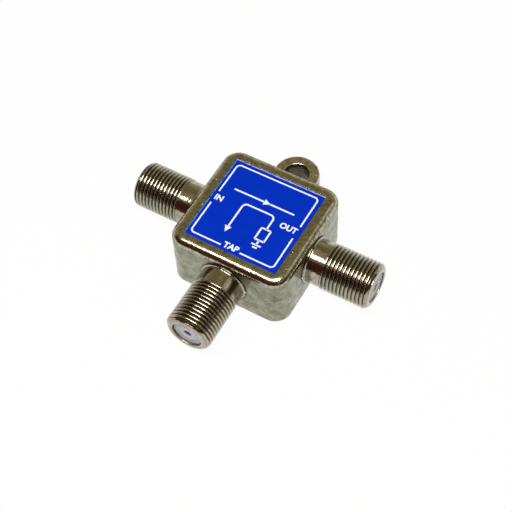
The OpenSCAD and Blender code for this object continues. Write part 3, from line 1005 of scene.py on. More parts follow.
    def nose(self, reach: float, r_from: float, r_to: float) -> Array:
        """Profile (s, r) of a port's rounded end between two radii.

        It is an arc over the chamfer's line: its normals turn from 45 + nose_turn to 45 - nose_turn degrees
        off the axis, so its radius is half the chamfer's length over sin(nose_turn).

        Args:
            reach: Distance of the port's end from the body's centre.
            r_from: Radius at its start.
            r_to: Radius at its end.

        Returns:
            The profile's points.
        """
        f = self.form
        r = f.end_chamfer / math.sqrt(2) / math.sin(math.radians(f.nose_turn))
        steepest = math.radians(45 + f.nose_turn)
        centre = (reach - f.end_chamfer - r * math.cos(steepest), f.thread_r - r * math.sin(steepest))
        start, end = (math.degrees(math.asin((q - centre[1]) / r)) for q in (r_from, r_to))
        return arc(centre, r, start, end, 8)

    def port_core(self, sizes: PortSizes) -> Surface:
        """A port without its thread: foot, neck, thread root and chamfered end, turned from a profile.

        Args:
            sizes: The port.

        Returns:
            The closed surface, about the local axis.
        """
        f, reach, start = self.form, self.reach(sizes.port), self.thread_start(sizes)
        face, e, o = self.half + self.draft + f.foot_h, f.edge, f.overlap
        bend, tip = f.foot_r - f.neck_r, f.thread_r - f.end_chamfer
        end = self.nose(reach, f.root_r, tip + o)
        along_neck = np.linspace(face + bend, start, 6)[1:]
        along_root = np.linspace(start + f.neck_slope, end[0, 0] - o, 40)
        profile = np.concatenate([
            [(self.half - self.wall / 2, f.foot_r - o), (self.half, f.foot_r), (face - e, f.foot_r)],
            arc((face - e, f.foot_r - e), e, 90, 0, 4)[1:],
            arc((face + bend, f.foot_r), bend, 180, 270, 7)[1:],
            [(s, f.neck_r) for s in along_neck],
            [(s, f.root_r) for s in along_root],
            end,
            arc((reach - e, tip - o), e, 45 - f.nose_turn, 0, 3),
            [(reach, f.bore_r - f.bore_room)],
        ])
        return closed_grid(turned(profile, f.steps))

    def thread_start(self, sizes: PortSizes) -> float:
        """Where a thread leaves its neck, counted back in turns from the port's end."""
        f = self.form
        return self.reach(sizes.port) - f.end_chamfer - f.crest_w - f.turns * f.pitch

    def thread(self, sizes: PortSizes) -> Surface:
        """A port's thread: a rounded ridge carried along a right-hand helix.

        A section point (d, r) becomes (q cos t, q sin t, s0 + P t / 2 pi + d), where P is the pitch and
        q rises from the ridge's base to r over the first third of a turn, so the thread runs out in
        the neck.

        Args:
            sizes: The port.

        Returns:
            The ridge, closed at both ends.
        """
        f = self.form
        base_r, foot = f.root_r - f.ridge_sink, (f.pitch - f.root_w) / 2
        half_crest, r = f.crest_w / 2, f.thread_r
        slope = (foot - half_crest) / (r - f.root_r)
        right = [(foot + slope * (f.root_r - base_r), base_r), (foot, f.root_r)]
        rounding = ((slope * f.flank_top, f.flank_top), *f.crest)
        right += [(half_crest + out, r - down) for out, down in rounding]
        right.append((half_crest * 0.15, r))
        section = np.array(right + [(-d, q) for d, q in right[::-1]])
        turns = f.turns + f.past_turns + f.lead_turns
        t = np.linspace(0, 2 * np.pi * turns, int(turns * f.steps) + 1)[:, None]
        rise = smooth_step(t / (2 * np.pi / 3))
        q = base_r + (section[:, 1] - base_r) * rise
        first = self.thread_start(sizes) + f.pitch - f.root_w - half_crest - f.thread_back
        s = first - f.pitch * (0.5 + f.lead_turns) + f.pitch * t / (2 * np.pi) + section[:, 0]
        a = t + math.radians(sizes.start_deg - 360 * f.lead_turns)
        return closed_grid(np.stack([q * np.cos(a), q * np.sin(a), s], -1))

    def thread_envelope(self, sizes: PortSizes) -> Surface:
        """What a thread stays inside: a wide cylinder with the end's rounded nose.

        Args:
            sizes: The port.

        Returns:
            The closed surface, about the local axis.
        """
        f, reach = self.form, self.reach(sizes.port)
        core_r, outer_r, above_root, before_nose = 1.0, f.thread_r + 1.0, 0.07, 0.6
        end = self.nose(reach, f.thread_r, f.root_r + above_root)
        profile = np.concatenate([
            [(self.half, core_r), (self.half, outer_r), (reach - f.end_chamfer - before_nose, outer_r)],
            end,
            [(end[-1, 0], core_r)],
        ])
        return closed_grid(turned(profile, f.steps))

    def port_room(self, port: Port) -> Surface:
        """The room cut into a port: chamfered mouth, bore, shoulder and the hole through the wall.

        Args:
            port: The port.

        Returns:
            The closed surface, about the local axis.
        """
        f, past, flare = self.form, 1.0, 0.6
        reach, r, c = self.reach(port), f.bore_r, f.mouth_chamfer
        profile = np.array([
            (self.half - self.wall - past, f.wall_hole_r), (f.shoulder, f.wall_hole_r), (f.shoulder, r),
            (reach - 3 * c, r), (reach - c, r), (reach - 0.4 * c, r + 0.35 * c),
            (reach, r + c), (reach + past, r + c + flare),
        ])
        return closed_grid(turned(profile, f.steps))

    def ear(self) -> Surface:
        """The ear: a ring-shaped section carried round a U outline and the hole inside it.

        A section row is either the outline, drawn in by an inset, or a circle round the hole, and rows on
        the flat faces lie between the two. Outline and circle points share one angle about the hole.

        Returns:
            The surface.
        """
        r, base_y = self.ear_r, self.half - self.wall / 2

        def outline(size: float) -> Array:
            """The U outline, once round from its right side.

            Args:
                size: Radius of its rounded end.

            Returns:
                Its plane points.
            """
            drop = r - size
            sides = np.linspace(base_y + drop, self.ear_y, 7)[:-1]
            right = np.stack([np.full(6, size), sides], -1)
            end = arc((0, self.ear_y), size, 0, 180, 49)
            left = np.stack([np.full(6, -size), sides[::-1]], -1)
            x = np.linspace(-size, size, 10)[1:-1]
            return np.concatenate([right, end, left, np.stack([x, np.full(8, base_y + drop)], -1)])

        rim = outline(r)
        angle = np.arctan2(rim[:, 1] - self.ear_y, rim[:, 0])

        def circle(size: float) -> Array:
            """A circle of this radius round the hole, at the outline's angles."""
            return np.stack([size * np.cos(angle), self.ear_y + size * np.sin(angle)], -1)

        e, c, low = self.ear_edge, self.ear_hole_edge, self.ear_low_edge
        top, hole = self.ear_h, self.ear_hole_r
        rows = [lifted(outline(r - low + s), z) for s, z in arc((0, low), low, -90, 0, 4)]
        rows += [lifted(outline(r), z) for z in np.linspace(low, top - e, 6)[1:]]
        rows += [lifted(outline(r - e + s), z) for s, z in arc((0, top - e), e, 0, 90, 8)[1:]]
        rows += [lifted(outline(r - e) * (1 - k) + circle(hole + c) * k, top) for k in (0.3, 0.7)]
        rows += [lifted(circle(hole + s), z) for s, z in arc((c, top - c), c, 90, 180, 7)]
        rows += [lifted(circle(hole), z) for z in np.linspace(top - c, c, 6)[1:]]
        rows += [lifted(circle(hole + s), z) for s, z in arc((c, c), c, 180, 270, 5)[1:]]
        rows += [lifted(outline(r - low) * k + circle(hole + c) * (1 - k), 0.0) for k in (0.3, 0.7)]
        return looped_grid(np.stack(rows))

    def post(self, x: float, y: float) -> Surface:
        """One post for the board with the peg that passes through it.

        Args:
            x: Its place along X.
            y: Its place along Y.

        Returns:
            The closed surface.
        """
        tip_r, tip_h = self.peg_tip
        profile = np.array([
            (self.peg_low, tip_r), (self.peg_low + tip_h, self.peg_r), (self.board_top, self.peg_r),
            (self.board_top, self.post_r), (self.height - self.face_wall + self.post_sink, self.post_r),
        ])
        return closed_grid(turned(profile, 32) + np.array([x, y, 0.0]))

    def bead(self, place: Triple, size: Triple) -> Surface:
        """An ellipsoid: centre plus size times (sin v cos u, sin v sin u, cos v).

        Args:
            place: Its centre.
            size: Its half axes.

        Returns:
            The closed surface.
        """
        u = np.linspace(0, 2 * np.pi, 20, endpoint=False)
        v = np.radians(np.linspace(8, 172, 12))[:, None]
        ball = np.stack([np.sin(v) * np.cos(u), np.sin(v) * np.sin(u), np.cos(v) + 0 * u], -1)
        return closed_grid(np.array(place) + ball * np.array(size))

    def build(self) -> Piece:
        """Makes the casting as one closed mesh and dresses it.

        Returns:
            The object.
        """
        casting = self.shell().to_object("casting")
        added = [self.ear().to_object("ear")]
        for sizes in self.ports:
            piece = self.stand(self.port_core(sizes), sizes.port, "port")
            thread = self.stand(self.thread(sizes), sizes.port, "thread")
            limit = self.stand(self.thread_envelope(sizes), sizes.port, "envelope")
            combine(thread, [limit], Join.KEEP)
            added.append(combine(piece, [thread], Join.ADD))
        for x in (-self.post_at, self.post_at):
            for y in (-self.post_at, self.post_at):
                added.append(self.post(x, y).to_object("post"))
        by_foot = self.half + self.draft + self.form.foot_h - self.nub_sink
        beside, nub_h = self.form.foot_r - self.form.overlap, self.form.axis_h - self.nub_drop
        for x, y in ((beside, -by_foot), (by_foot, -beside)):
            added.append(self.bead((x, y, nub_h), self.nub).to_object("nub"))
        combine(casting, added, Join.ADD)
        cutters = [self.stand(self.port_room(sizes.port), sizes.port, "room") for sizes in self.ports]
        for x, y, r in self.pinholes:
            cutters.append(self.bead((x, y, self.height), (r, r, r)).to_object("pinhole"))
        combine(casting, cutters, Join.CUT)
        shaded(casting, 32)
        hole = (self.ear_y, self.ear_hole_r)
        dress(casting, self.finish.material(self.form, self.half, self.reach(Port.OUT), hole))
        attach(casting, BODY)
        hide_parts("housing")
        LOG.info("casting: %d points", len(casting.data.vertices))
        return casting


# ---------------------------------------------------------------- label


@dataclass(frozen=True)
class BluePrint:
    """Royal blue print of a satin gloss, with a pale sliver along the two far edges: a painted highlight
    and reflection.

    Attributes:
        blue: The print's colour.
        blue_patch: Its colour in patches.
        side_sliver_glint: Colour of the sliver along the -X edge.
        far_sliver_glint: Colour of the sliver along the +Y edge.
        roughness: Roughness of the print and of its patches.
        shine: Level of the reflection off its face.
        wide: Patches to a millimetre, grain to a millimetre and contrast.
        broken: The same for the patches that break the slivers up.
        side_margin: Width of the sliver along the -X edge.
        far_margin: Width of the sliver along the +Y edge.
        soft: Width over which a sliver fades into the print.
        grain: Depth of the grain.
    """

    blue: Colour = (0.0003, 0.027, 0.49)
    blue_patch: Colour = (0.0004, 0.032, 0.54)
    # Painted highlight with a painted reflection of the blue along the -X edge, painted highlight along the
    # +Y edge
    side_sliver_glint: Colour = (0.22, 0.62, 0.68)
    far_sliver_glint: Colour = (0.88, 0.95, 0.94)
    roughness: Pair = (0.36, 0.42)
    shine: float = 0.05
    wide: Triple = (0.4, 4.0, 2.0)
    broken: Triple = (0.9, 6.0, 2.2)
    side_margin: float = 0.15
    far_margin: float = 0.24
    soft: float = 0.04
    grain: float = 0.0015

    def material(self, half: Pair) -> Material:
        """Builds the material.

        A sliver's mask rises where a point is within its margin of the plate's edge, and a noise breaks
        it up, as a broken painted highlight and painted reflection along the recess's edge.

        Args:
            half: Half width and half depth of the plate.

        Returns:
            The material.
        """
        material, sheet = new_material("blue_print")
        spots, broken = spots_of(sheet, *self.wide), spots_of(sheet, *self.broken)
        x, y, _ = sheet.split(sheet.place())
        side, inner = self.side_margin - half[0], half[1] - self.far_margin
        left = sheet.ramp(x, side, side + self.soft, 1.0, 0.0)
        far = sheet.ramp(y, inner - self.soft, inner)
        # The slivers are a painted highlight, with a painted reflection of the blue along the -X edge
        sliver_glint = sheet.maths("MULTIPLY", sheet.maths("MAXIMUM", left, far), broken["Patches"])
        ink = sheet.mix(spots["Patches"], self.blue, self.blue_patch)
        shader(
            sheet,
            Base_Color=sheet.mix(sliver_glint, ink, sheet.mix(far, self.side_sliver_glint, self.far_sliver_glint)),
            Roughness=sheet.between(spots["Patches"], *self.roughness),
            Specular_IOR_Level=self.shine,
            Normal=sheet.bump(spots["Height"], self.grain),
        )
        return material


@dataclass
class Label:
    """The printed plate and its white print."""

    half: Pair = (9.95, 10.1)
    low: float = 13.0
    top: float = 13.12
    ink_h: float = 0.012
    stroke: float = 0.33
    frame_x: Pair = (-9.04, 8.96)
    frame_y: Pair = (-9.15, 8.97)
    frame_r: float = 0.8
    sign_stroke: float = 0.36
    sign_bend: float = 0.9
    arrow: Pair = (1.4, 0.7)
    ink_sink: float = 0.02
    side_gap: Pair = (-1.51, 1.51)
    low_gap: Pair = (-2.29, 1.80)
    cap_h: float = 1.36
    boldness: float = 0.04
    words: tuple[tuple[str, float, float, float], ...] = (
        ("IN", -8.2, 0.13, 1.68), ("OUT", 7.14, 0.22, 3.64), ("TAP", -0.28, -8.7, 3.25),
    )
    ground: BluePrint = field(default_factory=BluePrint)
    ink: Finish = Finish("white_ink", (0.93, 0.97, 1.0), (0.88, 0.93, 0.98), (0.35, 0.45), depth=0.002)

    def plate(self) -> Piece:
        """The plate, a stack of round-cornered rectangles with a broken edge.

        Returns:
            The object.
        """
        (x, y), low, top = self.half, self.low, self.top
        rows = [(x * k, y * k, 0.1 * k, low) for k in (0.4, 0.8)]
        rows += [(x - inset, y - inset, r, z) for inset, r, z in (
            (0.02, 0.1, low), (0.0, 0.12, low + 0.03), (0.0, 0.12, top - 0.04),
            (0.015, 0.11, top - 0.01), (0.04, 0.1, top),
        )]
        rows += [(x * k, y * k, 0.1 * k, top) for k in (0.9, 0.5)]
        return closed_grid(stacked(rows, 6, 12)).to_object("label_face")

    def ribbon(self, path: Array, width: float | None = None) -> Surface:
        """A stroke of ink along a path.

        The section is a flat box: the path moved to either side by half the width along its own
        normal, at the label's face and at the ink's height.

        Args:
            path: Plane points.
            width: Width of the stroke, or none for the usual one.

        Returns:
            The closed stroke.
        """
        half = (width or self.stroke) / 2
        along = np.gradient(path, axis=0)
        along /= np.linalg.norm(along, axis=1, keepdims=True)
        normal = np.stack([-along[:, 1], along[:, 0]], -1) * half
        low, high = self.top - self.ink_sink, self.top + self.ink_h
        sides = ((normal, low), (-normal, low), (-normal, high), (normal, high))
        return closed_grid(np.stack([lifted(path + offset, z) for offset, z in sides], axis=1))

    def frame_lines(self) -> list[Surface]:
        """The frame's three brackets, with gaps for the words.

        Returns:
            The strokes.
        """
        (x0, x1), (y0, y1), r = self.frame_x, self.frame_y, self.frame_r
        low, high = self.side_gap
        upper = np.concatenate([
            [(x0, high), (x0, high + 0.1), (x0, y1 - r - 0.1)], arc((x0 + r, y1 - r), r, 180, 90, 13),
            arc((x1 - r, y1 - r), r, 90, 0, 13), [(x1, y1 - r - 0.1), (x1, high + 0.1), (x1, high)],
        ])
        lower = [
            np.concatenate([
                [(x, low), (x, low - 0.1), (x, y0 + r + 0.1)],
                arc((x + way * r, y0 + r), r, start, start + way * 90, 13),
                [(gap - way * 0.1, y0), (gap, y0)],
            ])
            for x, way, start, gap in ((x0, 1, 180, self.low_gap[0]), (x1, -1, 0, self.low_gap[1]))
        ]
        return [self.ribbon(path) for path in (upper, *lower)]

    def word(self, text: str, x: float, y: float, width: float) -> Piece:
        """One word as a thin solid, scaled to its width and cap height about its middle.

        Args:
            text: The word.
            x: Its middle along X.
            y: Its middle along Y.
            width: Its width.

        Returns:
            The object.
        """
        curve = bpy.data.curves.new(text, "FONT")
        curve.body = text
        curve.offset = self.boldness
        curve.extrude = 0.5
        curve.resolution_u = 6
        carrier = link(bpy.data.objects.new("word", curve))
        graph = bpy.context.evaluated_depsgraph_get()
        mesh = bpy.data.meshes.new_from_object(carrier.evaluated_get(graph))
        bpy.data.objects.remove(carrier)
        points = points_of(mesh).astype(float)
        low, high = points.min(0), points.max(0)
        unit = (points - low) / (high - low)
        size = np.array([width, self.cap_h, self.ink_h + self.ink_sink])
        corner = np.array([x - width / 2, y - self.cap_h / 2, self.top - self.ink_sink])
        mesh.vertices.foreach_set("co", ((corner + unit * size) * MM).astype(np.float32).ravel())
        mesh.update()
        return link(bpy.data.objects.new("word", mesh))

    def symbol(self) -> list[Surface]:
        """The plain circuit sign of a line coupler, in place of other print.

        A main line with an arrow runs from one side to the other, and a short line beside it turns down
        towards the tap at one end and to a resistor's box at the other.

        Returns:
            The strokes.
        """
        main_y, side_y, bend_y = 3.4, 1.3, -1.2
        tap_x, load_x, bend = -3.2, 3.6, self.sign_bend
        box_top, box_low, earth_y = -2.1, -4.9, -6.1
        left, right = load_x - 1.0, load_x + 1.0
        paths = [
            [(-6.6, main_y), (0.05, main_y)],
            [(1.2, main_y), (6.6, main_y)],
            [(tap_x + bend, side_y), (load_x - bend, side_y)],
            [(load_x, bend_y), (load_x, box_top)],
            [(load_x, box_low), (load_x, earth_y)],
            [(left, earth_y), (right, earth_y)],
            [(load_x - 0.5, earth_y - 0.6), (load_x + 0.5, earth_y - 0.6)],
            [(tap_x, bend_y), (tap_x, -4.85)],
            [*arc((load_x - bend, side_y - bend), bend, 90, 0, 9), (load_x, bend_y)],
            [*arc((tap_x + bend, side_y - bend), bend, 90, 180, 9), (tap_x, bend_y)],
            [(left, box_top), (right, box_top)],
            [(right, box_top), (right, box_low)],
            [(right, box_low), (left, box_low)],
            [(left, box_low), (left, box_top)],
        ]
        ribbons = [self.ribbon(np.array(path, float), self.sign_stroke) for path in paths]
        length, half = self.arrow
        low, high = self.top - self.ink_sink, self.top + self.ink_h
        for x, y, way_x, way_y in ((1.4, main_y, 1, 0), (tap_x, -6.2, 0, -1)):
            tip, along, side = np.array([(x, y), (way_x, way_y), (-way_y, way_x)], float)
            back = tip - length * along
            flat = np.array([tip, back + half * side, back - half * side])
            ribbons.append(closed_grid(np.stack([lifted(flat, z) for z in (low, high)])))
        return ribbons

    def build(self) -> None:
        """Makes the plate and its print, and dresses them."""
        plate = self.plate()
        dress(plate, self.ground.material(self.half))
        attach(plate, BODY)
        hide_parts("label_plate")
        parts = [stroke.to_object("stroke") for stroke in self.frame_lines() + self.symbol()]
        parts += [self.word(*word) for word in self.words]
        ink = joined(parts, "label_ink")
        dress(ink, self.ink.material())
        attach(ink, BODY)
        LOG.info("label: plate and %d strokes and words", len(parts))


def joined(parts: Sequence[Piece], name: str) -> Piece:
    """Joins meshes that lie apart into one object.

    Args:
        parts: The objects, which are used up.
        name: The new object's name.

    Returns:
        The new object.
    """
    points, corners, sizes, offset = [], [], [], 0
    for part in parts:
        mesh = part.data
        points.append(points_of(mesh))
        of_part, of_faces = np.zeros(len(mesh.loops), np.int32), np.zeros(len(mesh.polygons), np.int32)
        mesh.loops.foreach_get("vertex_index", of_part)
        mesh.polygons.foreach_get("loop_total", of_faces)
        corners.append(of_part + offset)
        sizes.append(of_faces)
        offset += len(mesh.vertices)
        remove(part)
    mesh = new_mesh(name, *(np.concatenate(column) for column in (points, corners, sizes)))
    mesh.shade_flat()
    return link(bpy.data.objects.new(name, mesh))


# ---------------------------------------------------------------- insulators and back


@dataclass(frozen=True)
class MilkyPlastic:
    """Milky polyethylene, with a painted shade in the hole through its face.

    Attributes:
        milk: The plastic's colour.
        milk_patch: Its colour in patches.
        hole: Its colour in the hole, a painted shade.
        roughness: Roughness where the grain is low and where it is high.
        shine: Level of the reflection off its face.
        spots: Patches to a millimetre, grain to a millimetre and contrast.
        grain: Depth of the grain.
        past_hole: How far past the hole's radius the painted shade starts to fade.
    """

    milk: Colour = (0.56, 0.56, 0.60)
    milk_patch: Colour = (0.49, 0.49, 0.54)
    # Painted shade in the hole
    hole: Colour = (0.09, 0.09, 0.10)
    roughness: Pair = (0.35, 0.5)
    shine: float = 0.25
    spots: Triple = (0.8, 6.0, 1.5)
    grain: float = 0.0008
    past_hole: float = 0.1

    def material(self, axis_h: float, hole_r: float, rim_r: float) -> Material:
        """Builds the material.

        Args:
            axis_h: Height of the ports' axes.
            hole_r: Radius of the hole.
            rim_r: Radius at which the hole's mouth and its painted shade end.

        Returns:
            The material.
        """
        material, sheet = new_material("milky_plastic")
        spots = spots_of(sheet, *self.spots)
        by_port = effect(sheet, port_place(), Axis_Height=axis_h)
        # Painted shade in the hole and its mouth
        in_hole = sheet.ramp(by_port["From Axis"], hole_r + self.past_hole, rim_r, 1.0, 0.0)
        milky = sheet.mix(spots["Patches"], self.milk, self.milk_patch)
        shader(
            sheet,
            Base_Color=sheet.mix(in_hole, milky, self.hole),
            Roughness=sheet.between(spots["Grain"], *self.roughness),
            Specular_IOR_Level=self.shine,
            Normal=sheet.bump(spots["Height"], self.grain),
        )
        return material


@dataclass
class Insulators:
    """The three moulded insulators, with their faces a little behind the ports' ends."""

    casting: Casting
    recesses: dict[Port, float] = field(
        default_factory=lambda: {Port.IN: 0.38, Port.OUT: 0.14, Port.TAP: 0.36}
    )
    outer_r: float = 3.1
    spigot_r: float = 2.1
    spigot_end: float = 10.25
    pocket_r: float = 1.35
    contact_end: float = 1.85
    hole_r: float = 0.55
    lead_in: float = 0.4
    edge: float = 0.12
    bevel: float = 0.1
    boss_r: float = 1.75
    boss_h: float = 0.12
    finish: MilkyPlastic = field(default_factory=MilkyPlastic)

    def profile(self, port: Port) -> Array:
        """Section (s, r) of a port's insulator, once round: face, outside, spigot, pocket and hole.

        Args:
            port: The port.

        Returns:
            The section's points.
        """
        reach, seat, tip = self.casting.reach(port), self.casting.form.shoulder, self.spigot_end
        face, pocket = reach - self.recesses[port], reach - self.contact_end
        low, e, b = face - self.boss_h, self.edge, self.bevel
        mouth_r = self.hole_r + self.lead_in
        return np.concatenate([
            [(face, mouth_r + b / 2), (face, mouth_r + b), (face, self.boss_r - b)],
            arc((face - b, self.boss_r - b), b, 0, 60, 4)[1:],
            [(low, self.boss_r + b), (low, self.outer_r - e)],
            arc((low - e, self.outer_r - e), e, 0, 90, 5)[1:],
            [(seat + b, self.outer_r), (seat, self.outer_r - b), (seat, self.spigot_r)],
            [(tip + b, self.spigot_r), (tip, self.spigot_r - b), (tip, self.pocket_r)],
            [(pocket, self.pocket_r), (pocket, self.hole_r), (face - self.lead_in, self.hole_r)],
        ])

    def build(self) -> None:
        """Makes the three insulators and dresses them."""
        axis_h, rim_r = self.casting.form.axis_h, self.hole_r + self.lead_in
        material = self.finish.material(axis_h, self.hole_r, rim_r)
        for port in Port:
            grid = turned(self.profile(port), 64)
            surface = looped_grid(self.casting.at_port(grid, port))
            piece = surface.to_object(f"{port.name.lower()}_plug", 40)
            dress(piece, material)
            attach(piece, BODY)
            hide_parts(f"{port.name.lower()}_insulator")
        LOG.info("insulators: 3")


@dataclass
class Back:
    """The tinned cover in the back and the solder that seals it."""

    casting: Casting
    cover_t: float = 0.5
    play: float = 0.1
    seam_w: float = 1.1
    seam_h: float = 0.35
    pillow: float = 0.06

    def cover(self) -> Piece:
        """The cover: round-cornered rows drawn in to its middle, with a slight pillow on the outside.

        The pillow lowers the outside by p (1 - k^2), where k is a row's size over the cover's.

        Returns:
            The object.
        """
        c = self.casting
        half = c.half - c.back_rim_w - self.play
        r = c.corner_r - c.back_rim_w - self.play
        inside, outside = c.cover_depth, c.cover_depth - self.cover_t
        rows = [square(half * k, r * k, inside) for k in (0.4, 0.8)]
        rows += [square(half - inset, r, z) for inset, z in (
            (0.04, inside), (0.0, inside - 0.05),
            (0.0, outside + 0.1), (0.03, outside + 0.03), (0.1, outside),
        )]
        rows += [square(half * k, r * k, outside - self.pillow * (1 - k * k))
                 for k in (0.93, 0.8, 0.65, 0.5, 0.33, 0.15)]
        return closed_grid(stacked(rows, 10, 20)).to_object("back_plate")

    def seam(self) -> Piece:
        """The solder seam: a hollow-faced fillet carried round the cover, uneven like hand work.

        Its width is the nominal one times 1 + 0.18 w and its height times 1 + 0.12 w, where w sums three
        sines of the way round, with whole numbers of waves so that it closes.

        Returns:
            The object.
        """
        c = self.casting
        overlap, seat = 0.02, 0.03
        half = c.half - c.back_rim_w + overlap
        r = c.corner_r - c.back_rim_w
        low = c.cover_depth - self.cover_t
        line = rounded_outline(np.array([half]), np.array([half]), np.array([r]), 16, 40)[0]
        ahead, behind = np.roll(line, -1, 0), np.roll(line, 1, 0)
        along = ahead - behind
        along /= np.linalg.norm(along, axis=1, keepdims=True)
        inward = np.stack([-along[:, 1], along[:, 0]], -1)
        way = np.cumsum(np.linalg.norm(ahead - line, axis=1))
        way = 2 * np.pi * way / way[-1]
        wave = 0.5 * np.sin(7 * way + 0.6) + 0.3 * np.sin(17 * way + 2.0) + 0.2 * np.sin(31 * way + 4.1)
        width = self.seam_w * (1 + 0.18 * wave)
        height = self.seam_h * (1 + 0.12 * np.roll(wave, 9))
        inside, deepest = low + seat, c.cover_depth - overlap
        section = [(w, low - height * h) for w, h in (
            (0.0, 1.0), (0.14, 0.62), (0.34, 0.34), (0.62, 0.16), (1.0, 0.02),
        )]
        section += [(0.95, inside), (0.1, inside), (0.08, deepest), (0.0, deepest)]
        rings = [lifted(line + inward * (width * w)[:, None], z) for w, z in section]
        return looped_grid(np.stack(rings)).to_object("cover_seam", 50)

    def build(self) -> None:
        """Makes the cover and its seam, and dresses them."""
        cover, seam = self.cover(), self.seam()
        dress(cover, Finish(
            "tin_sheet", (0.62, 0.62, 0.59), (0.52, 0.52, 0.50), (0.28, 0.42), metallic=1.0,
            patch_size=3.0, grain_size=0.3, depth=0.006,
        ).material())
        dress(seam, solder())
        for piece, node, slot in ((cover, "back_cover", "tin_plate"), (seam, "cover_solder", "solder")):
            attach(piece, BODY)
            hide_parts(node)
        LOG.info("back: cover and seam")


@functools.cache
def solder() -> Material:
    """Set solder: bright with dull patches.

    Returns:
        The material.
    """
    return Finish(
        "set_solder", (0.66, 0.66, 0.65), (0.50, 0.51, 0.51), (0.18, 0.4), metallic=1.0,
        patch_size=0.8, grain_size=0.12, depth=0.012, contrast=3.0,
    ).material()


# ---------------------------------------------------------------- pieces inside


def enamel(name: str, colour: Colour, patch_colour: Colour) -> Finish:
    """Enamelled wire of one colour."""
    return Finish(name, colour, patch_colour, (0.2, 0.3), coat=0.8, patch_size=0.7, depth=0.003)


def lacquer(name: str, colour: Colour, patch_colour: Colour) -> Finish:
    """Dipped lacquer of one colour."""
    return Finish(name, colour, patch_colour, (0.3, 0.4), coat=0.5, patch_size=0.9, depth=0.02)


@dataclass(frozen=True)
class RingedLacquer:
    """Sand-coloured lacquer with four colour rings.

    Attributes:
        sand: The lacquer's colour.
        rings: Place along X from the body's middle, and colour, of each ring.
        ring_edge: Distances from a ring's middle at which it starts to fade and is gone.
        roughness: Roughness of the lacquer and of its patches.
        spots: Patches to a millimetre, grain to a millimetre and contrast.
        grain: Depth of the grain.
    """

    sand: Colour = (0.55, 0.42, 0.24)
    rings: tuple[tuple[float, Colour], ...] = (
        (-0.95, (0.35, 0.02, 0.01)), (-0.4, (0.02, 0.03, 0.35)),
        (0.15, (0.02, 0.02, 0.02)), (0.95, (0.5, 0.3, 0.03)),
    )
    ring_edge: Pair = (0.13, 0.16)
    roughness: Pair = (0.28, 0.4)
    spots: Triple = (1.2, 6.0, 1.5)
    grain: float = 0.01

    def material(self) -> Material:
        """Builds the material, with the rings about the middle of the resistor's box.

        Returns:
            The material.
        """
        material, sheet = new_material("ringed_lacquer")
        low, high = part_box("termination_resistor")
        middle = (low.x + high.x) / 2 / MM
        x = sheet.maths("SUBTRACT", sheet.split(sheet.place())[0], middle)
        colour: Value = self.sand
        for at, tint in self.rings:
            away = sheet.maths("ABSOLUTE", sheet.maths("SUBTRACT", x, at))
            colour = sheet.mix(sheet.ramp(away, *self.ring_edge, 1.0, 0.0), colour, tint)
        spots = spots_of(sheet, *self.spots)
        shader(
            sheet, Base_Color=colour, Roughness=sheet.between(spots["Patches"], *self.roughness),
            Normal=sheet.bump(spots["Height"], self.grain),
        )
        return material


@dataclass
class Inside:
    """Finishes of the pieces inside the housing, which keep their solids."""

    finishes: dict[str, Finish] = field(default_factory=lambda: {
        "contact": Finish("sprung_bronze", (0.56, 0.36, 0.15), (0.44, 0.27, 0.11), (0.22, 0.36), 1.0),
        "board": Finish(
            "board_lacquer", (0.02, 0.11, 0.03), (0.03, 0.15, 0.05), (0.3, 0.42), coat=0.4,
            patch_size=2.2, grain_size=0.2, depth=0.006, contrast=5.0,
        ),
        "core": Finish(
            "ferrite", (0.028, 0.027, 0.030), (0.045, 0.044, 0.046), (0.55, 0.7),
            patch_size=0.6, grain_size=0.08, depth=0.015,
        ),
        "series_winding": enamel("red_enamel", (0.42, 0.06, 0.02), (0.32, 0.04, 0.015)),
        "shunt_winding": enamel("green_enamel", (0.03, 0.23, 0.05), (0.02, 0.17, 0.04)),
        "line_capacitor": lacquer("brown_lacquer", (0.46, 0.16, 0.04), (0.38, 0.12, 0.03)),
        "tap_capacitor": lacquer("ochre_lacquer", (0.53, 0.24, 0.05), (0.45, 0.19, 0.04)),
        "matching_coil": Finish("drawn_copper", (0.72, 0.33, 0.17), (0.58, 0.24, 0.12), (0.2, 0.34), 1.0),
    })
    resistor: RingedLacquer = field(default_factory=RingedLacquer)

    def build(self) -> None:
        """Dresses each node that stays."""
        made = {key: finish.material() for key, finish in self.finishes.items()}
        made["resistor"] = self.resistor.material()
        made["solder"] = solder()
        order = sorted(made, key=len, reverse=True)
        nodes = [n for n in sorted(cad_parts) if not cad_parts[n].hide_render]
        for name in nodes:
            key = next(key for key in order if key in name)
            dress(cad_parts[name], made[key])
        LOG.info("inside: %d nodes dressed", len(nodes))


# ---------------------------------------------------------------- studio


@dataclass(frozen=True)
class Lamp:
    """An oblong area lamp over the part.

    Attributes:
        name: The lamp's name.
        tilt: How far it stands from the zenith towards +X and towards -Y, in degrees.
        spread: How wide it looks from the part along X and across, in degrees.
        radiance: How bright it is.
        reflected_only: Whether it shows in the metal and lights nothing else.
        distance: How far it hangs from the part, in metres.
    """

    name: str
    tilt: Pair
    spread: Pair
    radiance: float
    reflected_only: bool = False
    distance: float = 0.6


@dataclass(frozen=True)
class Flag:
    """A dim card out of the camera's sight, by the span of directions that it covers.

    Attributes:
        name: The card's name.
        azimuth: Where it starts and ends, from +Y towards +X, in degrees.
        elevation: Its lower and upper edge, in degrees.
        glow: How bright it is near the horizon, halfway up and overhead.
        distance: How far it stands from the part, in metres.
        rises: Sines of elevation between which the first glow turns into the second, and the
            second into the third.
    """

    name: str
    azimuth: Pair
    elevation: Pair
    glow: tuple[Colour, Colour, Colour]
    distance: float = 0.3
    rises: tuple[Pair, Pair] = ((0.05, 0.84), (0.86, 0.95))


